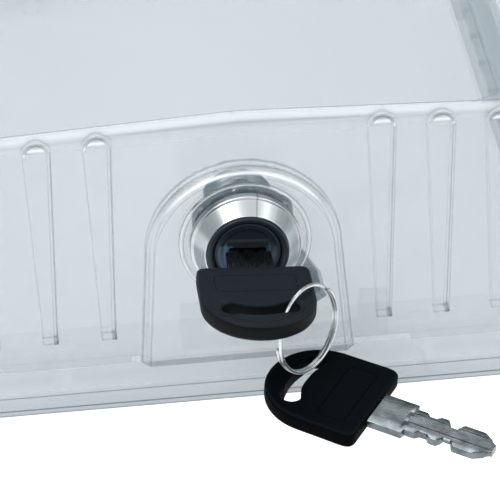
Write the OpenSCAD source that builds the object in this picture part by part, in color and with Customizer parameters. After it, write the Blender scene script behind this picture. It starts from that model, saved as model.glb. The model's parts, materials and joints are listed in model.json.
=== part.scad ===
// Clear lockable donation box: a hinged cover on a screw-down base tray,
// with a cam lock in the front wall and two keys on a split ring.
// Front faces -Y, up is +Z, and the origin is the centre of the base's underside.

/* [Base tray] */
// Length of the base from front to back
base_l = 200; // [180:1:260]
// Width of the base
base_w = 170; // [150:1:200]
// Height of the rim that the cover stands on
rim_h = 6.8; // [6:0.1:9]
// Corner radius of the rim in plan
rim_corner_r = 16; // [12:1:20]
// Wall thickness of the base tray
base_wall = 2.5; // [2:0.1:3]
// Height of the upright lip inside the cover
lip_h = 14; // [11:0.5:16]
// Height of the screw bosses
screw_boss_h = 3.2; // [3:0.1:5]
// Outer diameter of the screw bosses
screw_boss_d = 10; // [9:0.5:12]
// Diameter of the screw holes
screw_hole_d = 4.6; // [4:0.1:5.2]
// Distance between the screw holes from side to side
screw_gap_x = 87.5; // [70:0.5:92]
// Distance between the screw holes from front to back
screw_gap_y = 162; // [100:1:163]

/* [Cover] */
// Step from the rim's edge to the foot of the cover
rim_ledge = 8; // [7:0.5:9]
// Wall thickness of the cover
cover_wall = 2.5; // [2:0.1:3]
// Lean of the cover's walls from upright
wall_lean = 5.7; // [4:0.1:7]
// Height of the top face at the middle of the box
ridge_z = 70.2; // [68:0.2:80]
// Fall of the top face for each millimetre of width
top_fall = 0.045; // [0.02:0.005:0.06]
// Radius of the long edges round the top face
edge_r = 2.6; // [2:0.1:5]
// Running gap between the lip's top and the cover
lip_gap = 0.4; // [0.3:0.1:0.8]

/* [Flutes] */
// Distance from one flute to the next
flute_pitch = 13.8; // [12:0.2:16]
// Place of the innermost front flute from the middle
flute_first_x = 32.8; // [31:0.2:34]
// Number of flutes on each side of the lock
flute_count = 3; // [1:1:3]
// Number of flutes on each long side
side_flute_count = 11; // [3:2:11]
// Width of a flute at its round top
flute_top_w = 7; // [5:0.2:8]
// Width of a flute at its foot
flute_foot_w = 3.8; // [3:0.2:5]
// Height of a flute's foot above the table
flute_foot_z = 14.1; // [13:0.1:18]
// Length by which a flute's round top runs past the foot of the edge's round
flute_over = 2.5; // [1.5:0.1:5]
// Height by which a flute stands proud of the wall
flute_rise = 1.2; // [0.8:0.1:1.6]

/* [Money slot] */
// Length of the slot
slot_l = 90; // [80:1:110]
// Width of the slot
slot_w = 6; // [5:0.5:8]
// Place of the slot behind the middle of the box
slot_y = 10; // [0:1:40]
// Width of the raised border round the slot
slot_border = 4; // [3:0.5:6]
// Height of the raised border above the top face
slot_border_h = 1.2; // [0.8:0.1:2]

/* [Lock] */
// Height of the lock's axis where it meets the front wall
lock_z = 39.8; // [38:0.2:42]
// Radius of the arched pad at its foot
pad_r = 23.2; // [22:0.2:24]
// Rise of the arched pad over the wall
pad_rise = 2.5; // [2:0.1:3]
// Width of the pad's bevelled edge
pad_bevel = 2.9; // [2:0.1:3.5]
// Drop of the arch's centre below the lock's axis
pad_drop = 4.4; // [2:0.1:5]
// Spread of the pad's legs from upright
pad_spread = 4.4; // [2:0.1:6]
// Radius of the round boss under the lock's flange
boss_r = 15.5; // [15.2:0.1:17]
// Rise of the round boss over the pad
boss_rise = 2; // [1.6:0.1:2.4]
// Radius of the lock's flange
flange_r = 13; // [12:0.1:14]
// Thickness of the flange's edge
flange_t = 2; // [1.6:0.1:2.6]
// Height of the flange's cone above its edge
cone_h = 3.6; // [3:0.1:4]
// Radius of the threaded barrel
barrel_r = 9; // [8.6:0.1:9.2]
// Distance across the barrel's two flats
barrel_flats = 15.9; // [15.4:0.1:16.4]
// Length of the barrel behind the flange
barrel_l = 20; // [18:0.5:22]
// Pitch of the barrel's thread
thread_pitch = 2; // [1.5:0.1:2.5]
// Depth of the barrel's thread
thread_depth = 0.5; // [0.3:0.05:0.6]
// Radius of the black ring in the flange
face_ring_r = 9.7; // [9.2:0.1:9.8]
// Radius of the turning plug
plug_r = 5.6; // [5.2:0.1:6]
// Running gap round the plug
plug_gap = 0.06; // [0.03:0.01:0.1]
// Distance across the flats of the lock nut
nut_af = 23.4; // [22:0.2:24]
// Thickness of the lock nut
nut_t = 4; // [3:0.2:5]
// Thickness of the star washer
washer_t = 0.8; // [0.6:0.1:1]
// Turn of the plug from level at rest
plug_turn = 4; // [0:0.5:8]

/* [Cam and catch] */
// Reach of the cam from the lock's axis to the tongue
cam_reach = 28.6; // [27:0.1:29]
// Width of the cam
cam_w = 13; // [11:0.5:14]
// Thickness of the cam
cam_t = 2.5; // [2:0.1:3]
// Length of the tongue in front of the cam
tongue_l = 9; // [8:0.2:11]
// Turn of the cam on the plug, down from the side
cam_turn = 54; // [50:1:56]
// Place of the catch behind the base's front edge
catch_in = 16.6; // [16:0.1:18]
// Thickness of the catch
catch_t = 3; // [2.5:0.1:3.5]
// Height of the catch's top
catch_top_z = 14.6; // [14:0.1:16]

/* [Hinge] */
// Radius of the hinge knuckles
knuckle_r = 3.8; // [3.4:0.1:4]
// Radius of the hinge pins
pin_r = 1.75; // [1.5:0.05:1.9]
// Length of each cover knuckle
knuckle_l = 12; // [10:1:16]
// Length of each base knuckle
base_knuckle_l = 6; // [5:1:8]
// Place of each hinge from the middle
hinge_x = 46; // [40:1:52]
// Running gap between the knuckles, and between knuckle and rim
hinge_gap = 0.4; // [0.3:0.1:0.6]

/* [Keys] */
// Width of a key's bow
bow_w = 26; // [25:0.5:28]
// Length of a key's bow
bow_l = 26.6; // [25.6:0.5:28.6]
// Thickness of a key's bow
bow_t = 4.2; // [4:0.1:5]
// Distance from the plug's face to the bow of the key in the lock
bow_stand = 9.2; // [8.5:0.1:12]
// Width of a key's blade
blade_w = 7.9; // [7.5:0.1:8.1]
// Thickness of a key's blade
blade_t = 2; // [1.8:0.1:2.2]
// Length of a key's shank and blade in front of its bow
blade_l = 28.5; // [27:0.5:30]
// Diameter of the lobes at the ends of the ring's slot
ring_slot_w = 5; // [4.8:0.1:5.4]
// Mean radius of the split ring
ring_r = 10.1; // [10:0.1:12]
// Radius of the split ring's wire
wire_r = 0.45; // [0.35:0.05:0.5]

/* [Hidden] */
$fn = 48;

// Cover and base
cover_l = base_l - 2 * rim_ledge;
cover_w = base_w - 2 * rim_ledge;
cover_corner_r = rim_corner_r - rim_ledge;
lean_k = tan(wall_lean);
front_y = -cover_l / 2 + (lock_z - rim_h) * lean_k;
flute_root = cover_wall - 0.5;
leg_out = rim_ledge + cover_wall + lip_gap + (lip_h - rim_h) * lean_k;
floor_top = base_wall;
screw_pts = [for (x = [-1, 1], y = [-1, 1]) [x * screw_gap_x / 2, y * screw_gap_y / 2]];
hinge_y = cover_l / 2 + knuckle_r + 0.35;
hinge_z = rim_h + knuckle_r + hinge_gap;
bore_gap = 0.06;
pin_fit = 0.03;
lip_back_y = cover_l / 2 - 12;
rim_rib_x = 43.5;
cut_through = 60;

// Places along the lock's axis, outward from the front wall's face
pad_face_s = pad_rise;
boss_face_s = pad_rise + boss_rise;
panel_back_s = boss_face_s - cover_wall;
cone_top_s = boss_face_s + flange_t + cone_h;
plug_face_s = cone_top_s - 0.4;
barrel_end_s = boss_face_s - barrel_l;
stop_washer_t = 1.2;
cam_front_s = barrel_end_s - 0.3 - stop_washer_t;
cam_back_s = cam_front_s - cam_t;
plug_end_s = cam_back_s + 0.2;
spring_washer_t = 0.8;
face_cap_t = 2.6;
square_w = 6.4;
nut_front_s = panel_back_s - washer_t;
boss_pocket_r = boss_r - 1.5;
thread_turns = floor((barrel_l - 3) / thread_pitch);

// Cam tongue and catch
tongue_t = 2.5;
tongue_w = 9;
tongue_out_r = cam_reach + tongue_t;
catch_y = -base_l / 2 + catch_in;
catch_axis_z = lock_z - (catch_y - front_y) * sin(wall_lean);
catch_bar_x = 8;
catch_bar_z = catch_axis_z - sqrt(pow(cam_reach - 0.3, 2) - pow(catch_bar_x, 2));
catch_left_x = -15;
catch_gap_x = 28;
catch_right_x = 35;
catch_gap_z = 5.2;

// Keys: distances along a key are outward from its bow's flat end
keyway_w = blade_w + 0.4;
keyway_t = blade_t + 0.3;
shank_w = 10.6;
shank_l = 8.5;
blade_head_l = 5;
cut_at = [12.6, 18];
cut_depth = [1, 1.7];
key_play = 2;
slot_arc_r = 18;
slot_mid = bow_l - 7.2;
slot_half_angle = 20;
wafer_count = 5;
wafer_pitch = 2.6;
wafer_t = 1.2;
wafer_w = 9.8;
wafer_h = 5;
ring_centre = [10.72, front_y - 33.5, lock_z - 3.88];
ring_turn = -45.3;
ring_lean = -7.3;
ring_double_from = 267;
ring_double_angle = 221;
key_2_at = [24.32, front_y - 48.19, lock_z - 17.19];
key_2_turn = [3.4, 0.4, 56.9];

// A rounded rectangle with its middle at the origin
module plate2d(w, l, r) {
    translate([-w / 2 + r, -l / 2]) square([w - 2 * r, l]);
    translate([-w / 2, -l / 2 + r]) square([w, l - 2 * r]);
    for (x = [-1, 1], y = [-1, 1]) translate([x * (w / 2 - r), y * (l / 2 - r)]) circle(r);
}

// Puts its children on the lock's axis: X stays, Z points out of the lock, Y points up the wall
module at_lock(turn = 0) {
    translate([0, front_y, lock_z]) rotate([90 - wall_lean, 0, 0]) rotate([0, 0, -turn]) children();
}

// The same place, for what turns with the plug
module at_plug() {
    at_lock(plug_turn) children();
}

// ---- base tray ----
module ring_wall(outset, t, z0, z1) {
    w = base_w - 2 * outset;
    l = base_l - 2 * outset;
    r = max(rim_corner_r - outset, 2);
    translate([0, 0, z0]) linear_extrude(z1 - z0) difference() {
        plate2d(w, l, r);
        plate2d(w - 2 * t, l - 2 * t, max(r - t, 0.8));
    }
}

module catch() {
    catch_h = catch_top_z - floor_top;
    gusset_w = 2;
    gusset_l = 9;
    color([0.80, 0.86, 0.90, 0.6]) difference() {
        translate([catch_left_x, catch_y, floor_top])
            cube([catch_right_x - catch_left_x, catch_t, catch_h]);
        translate([-tongue_w, catch_y - 1, catch_gap_z])
            cube([catch_bar_x + tongue_w, catch_t + 2, catch_bar_z - catch_gap_z]);
        translate([catch_bar_x, catch_y - 1, catch_gap_z])
            cube([catch_gap_x - catch_bar_x, catch_t + 2, catch_h + 5]);
    }
    color([0.80, 0.86, 0.90, 0.6]) for (x = [catch_left_x, catch_right_x - gusset_w]) difference() {
        translate([x, catch_y + catch_t - 0.01, floor_top]) cube([gusset_w, gusset_l, catch_h]);
        translate([x - 1, catch_y + catch_t + gusset_l, floor_top])
            rotate([45, 0, 0]) cube([gusset_w + 2, 2 * gusset_l, 2 * catch_h]);
    }
}

module knuckle(length, bore) {
    rotate([0, 90, 0]) difference() {
        cylinder(r = knuckle_r, h = length, center = true);
        cylinder(r = bore, h = length + 2, center = true);
    }
}

module base_knuckles() {
    off = (knuckle_l + base_knuckle_l) / 2 + hinge_gap;
    for (side = [-1, 1], end = [-1, 1])
        translate([side * hinge_x + end * off, hinge_y, hinge_z]) difference() {
            union() {
                knuckle(base_knuckle_l, pin_r + pin_fit);
                translate([-base_knuckle_l / 2, -knuckle_r + 0.5, rim_h - hinge_z - 0.01])
                    cube([base_knuckle_l, 2 * knuckle_r - 1, knuckle_r + hinge_gap + 0.01]);
            }
            rotate([0, 90, 0]) cylinder(r = pin_r + pin_fit, h = base_knuckle_l + 2, center = true);
        }
}

module base_tray() {
    color([0.80, 0.86, 0.90, 0.6]) difference() {
        union() {
            linear_extrude(base_wall)
                plate2d(base_w - 2 * leg_out - 1, base_l - 2 * leg_out - 1, max(rim_corner_r - leg_out, 2));
            ring_wall(0, base_wall, 0, rim_h);
            ring_wall(base_wall - 0.1, leg_out - base_wall + 1, rim_h - base_wall, rim_h);
            ring_wall(leg_out, base_wall, 0, rim_h);
            difference() {
                ring_wall(leg_out, base_wall, rim_h - 1, lip_h);
                translate([-base_w, lip_back_y, rim_h]) cube([2 * base_w, base_l, lip_h]);
            }
            for (p = screw_pts) translate(p) cylinder(d = screw_boss_d, h = screw_boss_h);
            for (x = [-1, 1], y = [-1, 1]) translate([x * rim_rib_x, y * (base_l / 2 - leg_out / 2 - 0.5), 0])
                translate([-1.4, -leg_out / 2, 0]) cube([2.8, leg_out, rim_h - 0.5]);
            base_knuckles();
        }
        for (p = screw_pts) translate([p[0], p[1], -1]) cylinder(d = screw_hole_d, h = screw_boss_h + 2);
    }
}

// ---- cover ----
// Outer or inner solid of the cover, inset from its outer faces
module cover_solid(inset, foot_z) {
    levels = 5;
    top_r = max(edge_r - inset, 0.6);
    function eave_z(x) = ridge_z - top_fall * abs(x) - inset;
    function half_w(z) = cover_w / 2 - inset - (z - rim_h) * lean_k;
    function half_l(z) = cover_l / 2 - inset - (z - rim_h) * lean_k;
    corner_r = max(cover_corner_r - inset, 1.2);
    corner_top = eave_z(half_w(ridge_z)) - top_r;
    hull() {
        for (x = [-1, 1], y = [-1, 1]) {
            translate([x * (half_w(foot_z) - corner_r), y * (half_l(foot_z) - corner_r), foot_z])
                cylinder(r = corner_r, h = 0.01, $fn = 32);
            translate([x * (half_w(corner_top) - corner_r), y * (half_l(corner_top) - corner_r), 0])
                for (i = [0:levels - 1]) {
                    a = 90 * i / (levels - 1);
                    translate([0, 0, corner_top + top_r * sin(a) - 0.01])
                        cylinder(r = max(corner_r - top_r * (1 - cos(a)), 0.4), h = 0.01, $fn = 32);
                }
        }
        for (y = [-1, 1], i = [0:levels - 1]) {
            a = 90 * i / (levels - 1);
            z = ridge_z - inset - top_r + top_r * sin(a);
            l = half_l(ridge_z - top_r) - top_r * (1 - cos(a));
            translate([-0.5, y * (l - 0.5) - 0.5, z - 0.01]) cube([1, 1, 0.01]);
        }
    }
}

// One flute standing on the XY plane, rooted below it, with its foot at the origin and its round top up Y
module flute(length) {
    top = flute_top_w / 2;
    foot = flute_foot_w / 2;
    translate([0, 0, -flute_root]) linear_extrude(flute_rise + flute_root) union() {
        polygon([[-foot, 0], [foot, 0], [top, length - top], [-top, length - top]]);
        translate([0, length - top]) circle(top);
    }
}

// Puts its children on a wall's outer face at a height, with Y up the wall and Z outward
module on_wall(x, z, side) {
    front = side == "front" || side == "back";
    half = (front ? cover_l : cover_w) / 2 - (z - rim_h) * lean_k;
    turn = side == "front" ? 0 : side == "right" ? 90 : side == "back" ? 180 : 270;
    rotate([0, 0, turn]) translate([x, -half, z]) rotate([90 - wall_lean, 0, 0]) children();
}

module flutes() {
    function length_at(x) =
        (ridge_z - top_fall * x - edge_r - flute_foot_z) / cos(wall_lean) + flute_over;
    for (side = ["front", "back"], i = [0:flute_count - 1]) {
        x = flute_first_x + i * flute_pitch;
        for (s = [-1, 1]) on_wall(s * x, flute_foot_z, side) flute(length_at(x));
    }
    for (side = ["left", "right"], i = [0:side_flute_count - 1])
        on_wall((i - (side_flute_count - 1) / 2) * flute_pitch, flute_foot_z, side)
            flute(length_at(cover_w / 2));
}

// Outline of the arched pad, pulled in by a distance
module pad2d(inset) {
    r = pad_r - inset;
    foot_v = -(lock_z - rim_h) / cos(wall_lean) + inset * 0.6;
    spread = (-pad_drop - foot_v) * tan(pad_spread);
    translate([0, -pad_drop]) circle(r, $fn = 96);
    polygon([[-r - spread, foot_v], [r + spread, foot_v], [r, -pad_drop], [-r, -pad_drop]]);
}

module pad_outside() {
    steps = 3;
    for (i = [0:steps]) {
        a = 90 * i / steps;
        translate([0, 0, -cover_wall])
            linear_extrude(cover_wall + pad_rise * sin(a) + (i == 0 ? 0.3 : 0))
                pad2d(pad_bevel * (1 - cos(a)));
    }
    cylinder(r = boss_r, h = boss_face_s - 0.5, $fn = 96);
    cylinder(r = boss_r - 0.6, h = boss_face_s, $fn = 96);
}

module lock_hole() {
    translate([0, 0, -cover_wall - 8]) intersection() {
        cylinder(r = barrel_r + 0.2, h = 30);
        translate([-barrel_flats / 2 - 0.2, -15, 0]) cube([barrel_flats + 0.4, 30, 30]);
    }
    translate([0, 0, -cover_wall - 8]) linear_extrude(8 + pad_rise) pad2d(pad_bevel + 2);
    translate([0, 0, -1]) cylinder(r = boss_pocket_r, h = 1 + panel_back_s, $fn = 96);
}

module slot2d(grow) {
    r = slot_w / 2 + grow;
    translate([-(slot_l - slot_w) / 2, -r]) square([slot_l - slot_w, 2 * r]);
    for (s = [-1, 1]) translate([s * (slot_l - slot_w) / 2, 0]) circle(r);
}

module cover_knuckles() {
    for (side = [-1, 1]) translate([side * hinge_x, hinge_y, hinge_z]) {
        rotate([0, 90, 0]) cylinder(r = knuckle_r, h = knuckle_l, center = true);
        translate([-knuckle_l / 2, -knuckle_r - 2, -knuckle_r * 0.7])
            cube([knuckle_l, knuckle_r + 2, knuckle_r * 1.4]);
    }
}

module cover() {
    color([0.82, 0.88, 0.91, 0.4]) difference() {
        union() {
            cover_solid(0, rim_h);
            flutes();
            intersection() {
                at_lock() pad_outside();
                translate([-base_w, -base_l, rim_h]) cube([2 * base_w, 2 * base_l, ridge_z]);
            }
            cover_knuckles();
            translate([0, slot_y, ridge_z - 6]) linear_extrude(6 + slot_border_h) slot2d(slot_border);
        }
        cover_solid(cover_wall, rim_h - 1);
        intersection() {
            at_lock() lock_hole();
            translate([-base_w, -base_l, rim_h + 1]) cube([2 * base_w, 2 * base_l, ridge_z]);
        }
        translate([0, slot_y, 0]) linear_extrude(ridge_z + 10) slot2d(0);
        for (side = [-1, 1]) translate([side * hinge_x, hinge_y, hinge_z])
            rotate([0, 90, 0]) cylinder(r = pin_r + bore_gap, h = knuckle_l + 2, center = true);
    }
}

module hinge_pins() {
    length = knuckle_l + 2 * (base_knuckle_l + hinge_gap) + 0.6;
    color("silver") for (side = [-1, 1]) translate([side * hinge_x, hinge_y, hinge_z]) rotate([0, 90, 0]) {
        cylinder(r = pin_r, h = length, center = true);
        translate([0, 0, side * (length / 2 + 0.6)]) cylinder(r = pin_r + 1, h = 1.2, center = true);
    }
}

// ---- lock, fixed in the cover ----
module lock_body() {
    color([0.62, 0.66, 0.68]) at_lock() difference() {
        union() {
            translate([0, 0, boss_face_s]) {
                cylinder(r = flange_r, h = flange_t - 0.4, $fn = 96);
                cylinder(r = flange_r - 0.4, h = flange_t, $fn = 96);
                translate([0, 0, flange_t])
                    cylinder(r1 = flange_r - 0.8, r2 = face_ring_r + 0.4, h = cone_h, $fn = 96);
            }
            intersection() {
                union() {
                    translate([0, 0, barrel_end_s]) cylinder(r = barrel_r - thread_depth, h = barrel_l);
                    for (i = [0:thread_turns - 1])
                        translate([0, 0, barrel_end_s + 0.4 + i * thread_pitch])
                            cylinder(r = barrel_r, h = thread_pitch * 0.55);
                    translate([0, 0, boss_face_s - 2]) cylinder(r = barrel_r, h = 2);
                }
                translate([-barrel_flats / 2, -flange_r, barrel_end_s - 1])
                    cube([barrel_flats, 2 * flange_r, cut_through]);
            }
        }
        translate([0, 0, barrel_end_s - 1]) cylinder(r = plug_r + plug_gap, h = cut_through);
        translate([0, 0, boss_face_s + 0.6]) cylinder(r = face_ring_r + 0.05, h = 20);
        for (s = [-1, 1]) translate([s * (plug_r + 0.35) - 0.95, -wafer_h / 2 - 0.2, barrel_end_s + 2.5])
            cube([1.9, wafer_h + 0.4, wafer_count * wafer_pitch + 1]);
    }
}

module face_ring() {
    color([0.08, 0.10, 0.11]) at_lock() difference() {
        translate([0, 0, boss_face_s + 0.6]) union() {
            cylinder(r = face_ring_r, h = flange_t + cone_h - 0.6);
            translate([0, 0, flange_t + cone_h - 0.6])
                cylinder(r1 = face_ring_r, r2 = face_ring_r - 0.8, h = 0.5);
        }
        translate([0, 0, boss_face_s]) cylinder(r = plug_r + 2.35, h = 20);
    }
}

module star_washer() {
    color("silver") at_lock() translate([0, 0, nut_front_s]) difference() {
        union() {
            cylinder(r = barrel_r + 2.4, h = washer_t);
            for (i = [0:11]) rotate([0, 0, i * 30])
                translate([barrel_r + 1.4, -1, 0]) cube([2.4, 2, washer_t]);
        }
        translate([0, 0, -1]) cylinder(r = barrel_r + 0.15, h = 4);
    }
}

module lock_nut() {
    color([0.55, 0.58, 0.60]) at_lock() translate([0, 0, nut_front_s - nut_t]) difference() {
        intersection() {
            cylinder(r = nut_af / 2 / cos(30), h = nut_t, $fn = 6);
            cylinder(r = nut_af / 2 / cos(30) - 0.7, h = nut_t);
        }
        translate([0, 0, -1]) cylinder(r = barrel_r + 0.1, h = nut_t + 2);
    }
}

// ---- plug and what turns with it ----
module keyway(length) {
    translate([-keyway_w / 2, -keyway_t / 2, 0]) cube([keyway_w, keyway_t, length]);
}

function wafer_s(i) = barrel_end_s + 4.2 + i * wafer_pitch;

module lock_plug() {
    plug_head_s = boss_face_s + 0.75;
    key_depth_s = plug_face_s + bow_stand - blade_l - key_play - 0.8;
    color([0.70, 0.66, 0.50]) at_plug() difference() {
        union() {
            translate([0, 0, barrel_end_s]) cylinder(r = plug_r, h = plug_face_s - face_cap_t - barrel_end_s);
            translate([0, 0, barrel_end_s - 0.3]) cylinder(r = plug_r, h = 0.31);
            translate([-square_w / 2, -square_w / 2, plug_end_s])
                cube([square_w, square_w, barrel_end_s - plug_end_s]);
            translate([0, 0, plug_head_s])
                cylinder(r = plug_r + 1.9, h = plug_face_s - face_cap_t - plug_head_s);
        }
        translate([0, 0, key_depth_s]) keyway(cut_through);
        for (i = [0:wafer_count - 1]) translate([-plug_r - 1, -wafer_h / 2 - 0.1, wafer_s(i) - wafer_t / 2])
            cube([2 * plug_r + 2, wafer_h + 0.2, wafer_t + 0.1]);
        translate([0, 0, plug_end_s - 1]) cylinder(r = 1.65, h = 7.1);
    }
}

module plug_face() {
    color([0.09, 0.11, 0.12]) at_plug() translate([0, 0, plug_face_s - face_cap_t]) difference() {
        union() {
            cylinder(r = plug_r + 2.2, h = face_cap_t - 0.4);
            cylinder(r = plug_r + 1.8, h = face_cap_t);
        }
        translate([0, 0, -1]) keyway(10);
    }
}

module wafers() {
    hole_w = keyway_w + 0.2;
    hole_h = keyway_t + 0.3;
    color([0.78, 0.66, 0.36]) at_plug() for (i = [0:wafer_count - 1])
        translate([0, 0, wafer_s(i) - wafer_t / 2]) difference() {
            translate([-wafer_w / 2, -wafer_h / 2, 0]) cube([wafer_w, wafer_h, wafer_t]);
            translate([-hole_w / 2, -hole_h / 2, -1]) cube([hole_w, hole_h, 4]);
        }
}

module cam_plate(from_s, thick, r) {
    translate([0, 0, from_s]) difference() {
        cylinder(r = r, h = thick);
        translate([0, 0, thick / 2]) cube([square_w + 0.1, square_w + 0.1, thick + 2], center = true);
    }
}

module cam_stop_washer() {
    color("silver") at_plug() cam_plate(cam_front_s, stop_washer_t, 7.4);
}

module cam() {
    color([0.66, 0.68, 0.69]) at_plug() {
        difference() {
            translate([0, 0, cam_back_s]) rotate([0, 0, -cam_turn]) union() {
                cylinder(r = cam_w / 2, h = cam_t - 0.01);
                translate([0, -cam_w / 2, 0]) cube([14, cam_w, cam_t - 0.01]);
                translate([13, -tongue_w / 2, 0]) cube([tongue_out_r - 13, tongue_w, cam_t - 0.01]);
            }
            translate([0, 0, cam_back_s + cam_t / 2])
                cube([square_w + 0.1, square_w + 0.1, cam_t + 2], center = true);
        }
        rotate([0, 0, -cam_turn]) translate([cam_reach, -tongue_w / 2, cam_back_s])
            cube([tongue_t, tongue_w, cam_t + tongue_l]);
    }
}

module cam_spring_washer() {
    color("silver") at_plug() translate([0, 0, cam_back_s - spring_washer_t]) difference() {
        cylinder(r = 4.6, h = spring_washer_t);
        translate([0, 0, -1]) cylinder(r = 1.75, h = 4);
        rotate([0, 0, 20]) translate([0, -0.35, -1]) cube([8, 0.7, 4]);
    }
}

module cam_screw() {
    head_t = 2.2;
    color("silver") at_plug() difference() {
        union() {
            translate([0, 0, cam_back_s - spring_washer_t]) cylinder(r = 1.6, h = spring_washer_t + 6);
            translate([0, 0, cam_back_s - spring_washer_t - head_t]) cylinder(r1 = 2.5, r2 = 3.2, h = head_t);
        }
        for (a = [0, 90]) rotate([0, 0, a])
            translate([-1.8, -0.4, cam_back_s - spring_washer_t - head_t - 1]) cube([3.6, 0.8, 2.1]);
    }
}

// ---- keys and ring ----
// A bow lies in the XY plane with its flat end on the X axis and its round end up Y
module bow2d(inset) {
    r = bow_w / 2 - inset;
    corner = 1.6;
    side_l = bow_l - bow_w / 2 - inset;
    translate([0, bow_l - bow_w / 2]) circle(r, $fn = 72);
    translate([-r + corner, inset]) square([2 * (r - corner), side_l]);
    translate([-r, inset + corner]) square([2 * r, side_l - corner]);
    for (s = [-1, 1]) translate([s * (r - corner), inset + corner]) circle(corner);
}

module ring_slot2d() {
    centre = slot_mid - slot_arc_r;
    band = ring_slot_w / 2 - 0.7;
    intersection() {
        translate([0, centre]) difference() {
            circle(slot_arc_r + band, $fn = 96);
            circle(slot_arc_r - band, $fn = 96);
        }
        translate([0, centre]) rotate(90 - slot_half_angle) difference() {
            square(2 * slot_arc_r);
            rotate(2 * slot_half_angle) square(3 * slot_arc_r);
        }
    }
    for (s = [-1, 1]) translate([0, centre]) rotate(-s * slot_half_angle)
        translate([0, slot_arc_r]) circle(ring_slot_w / 2);
}

module bow() {
    difference() {
        translate([0, 0, -bow_t / 2]) union() {
            translate([0, 0, 0.5]) linear_extrude(bow_t - 1) bow2d(0);
            linear_extrude(bow_t) bow2d(0.6);
        }
        translate([0, 0, -bow_t]) linear_extrude(2 * bow_t) ring_slot2d();
        translate([-shank_w / 2, -1, -blade_t / 2]) cube([shank_w, blade_head_l + 1, blade_t]);
    }
}

// A blade runs down Y from inside the bow, with a shoulder and with the same cuts in both edges
module blade() {
    w = blade_w / 2;
    groove_x = 1.7;
    groove_w = 1;
    groove_depth = 0.35;
    difference() {
        translate([0, 0, -blade_t / 2]) linear_extrude(blade_t) polygon([
            [-shank_w / 2, blade_head_l], [-shank_w / 2, -shank_l], [-w, -shank_l], [-w, 3.6 - blade_l],
            [-1.4, -blade_l], [1.4, -blade_l], [w, 3.6 - blade_l], [w, -shank_l], [shank_w / 2, -shank_l],
            [shank_w / 2, blade_head_l]]);
        for (s = [-1, 1], i = [0:len(cut_at) - 1])
            translate([0, -cut_at[i], -blade_t]) linear_extrude(2 * blade_t)
                polygon([[s * (w + 1), 2.6], [s * (w - cut_depth[i]), 0.8],
                    [s * (w - cut_depth[i]), -0.8], [s * (w + 1), -2.6]]);
        for (s = [-1, 1], f = [-1, 1])
            translate([s * groove_x, -blade_l / 2 - shank_l / 2, f * (blade_t / 2 - groove_depth + 0.5)])
                cube([groove_w, blade_l - shank_l + 2, 1], center = true);
    }
}

module at_key_1() {
    at_plug() translate([0, 0, plug_face_s + bow_stand]) rotate([90, 0, 0]) children();
}

module at_key_2() {
    translate(key_2_at) rotate(key_2_turn) children();
}

module key_1_bow() {
    color([0.09, 0.11, 0.12]) at_key_1() bow();
}

module key_1_blade() {
    color([0.50, 0.55, 0.56]) at_key_1() blade();
}

module key_2_bow() {
    color([0.09, 0.11, 0.12]) at_key_2() bow();
}

module key_2_blade() {
    color([0.50, 0.55, 0.56]) at_key_2() blade();
}

// Two turns of wire side by side, joined by one turn across the rest of the circle
module ring_arc(from_deg, sweep, side) {
    rotate([0, 0, from_deg]) rotate_extrude(angle = sweep, $fn = 72)
        translate([ring_r, side * wire_r * 0.95]) circle(wire_r, $fn = 16);
}

module key_ring() {
    lap = 5;
    color([0.75, 0.77, 0.78])
        translate(ring_centre) rotate([0, 0, ring_turn]) rotate([0, 90 + ring_lean, 0]) {
            for (side = [-1, 1]) ring_arc(ring_double_from, ring_double_angle, side);
            ring_arc(ring_double_from + ring_double_angle - lap, 360 - ring_double_angle + 2 * lap, 0);
        }
}

base_tray();
catch();
cover();
hinge_pins();
lock_body();
face_ring();
star_washer();
lock_nut();
lock_plug();
plug_face();
wafers();
cam();
cam_stop_washer();
cam_spring_washer();
cam_screw();
key_1_blade();
key_1_bow();
key_ring();
key_2_blade();
key_2_bow();
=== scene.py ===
"""Looks of a clear lockable donation box: a hinged cover on a screw-down tray, a cam lock and two keys.

Lengths are in millimetres in the classes below and become metres when a mesh is written. The frame is the
row frame: the front wall faces -Y, up is +Z, and the origin is the centre of the tray's underside.
"""

import json
import logging
import math
from dataclasses import dataclass, field
from enum import Enum
from typing import Any, Callable, Optional, Sequence

import bmesh
import bpy
import numpy as np
from mathutils import Matrix

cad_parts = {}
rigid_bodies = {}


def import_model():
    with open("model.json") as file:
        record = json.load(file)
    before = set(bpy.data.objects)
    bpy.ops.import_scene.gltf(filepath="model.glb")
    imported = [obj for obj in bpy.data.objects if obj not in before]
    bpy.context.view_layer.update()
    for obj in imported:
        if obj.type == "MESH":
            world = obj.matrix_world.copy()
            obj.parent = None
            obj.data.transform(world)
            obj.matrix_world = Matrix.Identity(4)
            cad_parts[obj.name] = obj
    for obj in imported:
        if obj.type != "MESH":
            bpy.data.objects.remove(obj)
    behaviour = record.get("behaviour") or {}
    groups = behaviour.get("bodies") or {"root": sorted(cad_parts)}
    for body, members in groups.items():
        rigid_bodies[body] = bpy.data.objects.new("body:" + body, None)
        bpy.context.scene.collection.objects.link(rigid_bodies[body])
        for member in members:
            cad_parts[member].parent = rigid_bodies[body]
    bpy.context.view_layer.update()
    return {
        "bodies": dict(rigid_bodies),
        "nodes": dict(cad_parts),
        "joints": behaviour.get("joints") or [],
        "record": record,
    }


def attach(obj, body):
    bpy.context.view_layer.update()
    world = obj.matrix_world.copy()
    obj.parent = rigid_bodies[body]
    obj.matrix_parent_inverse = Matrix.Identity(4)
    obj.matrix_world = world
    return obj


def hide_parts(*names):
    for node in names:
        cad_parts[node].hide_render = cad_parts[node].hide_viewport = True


LOG = logging.getLogger("donation_box")
MM = 0.001
MM_PER_M = 1000.0
# Metres within which points are merged, in made sheets and in copied solids.
MERGE_SHEETS = 2e-6
MERGE_SOLIDS = 1e-6
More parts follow.
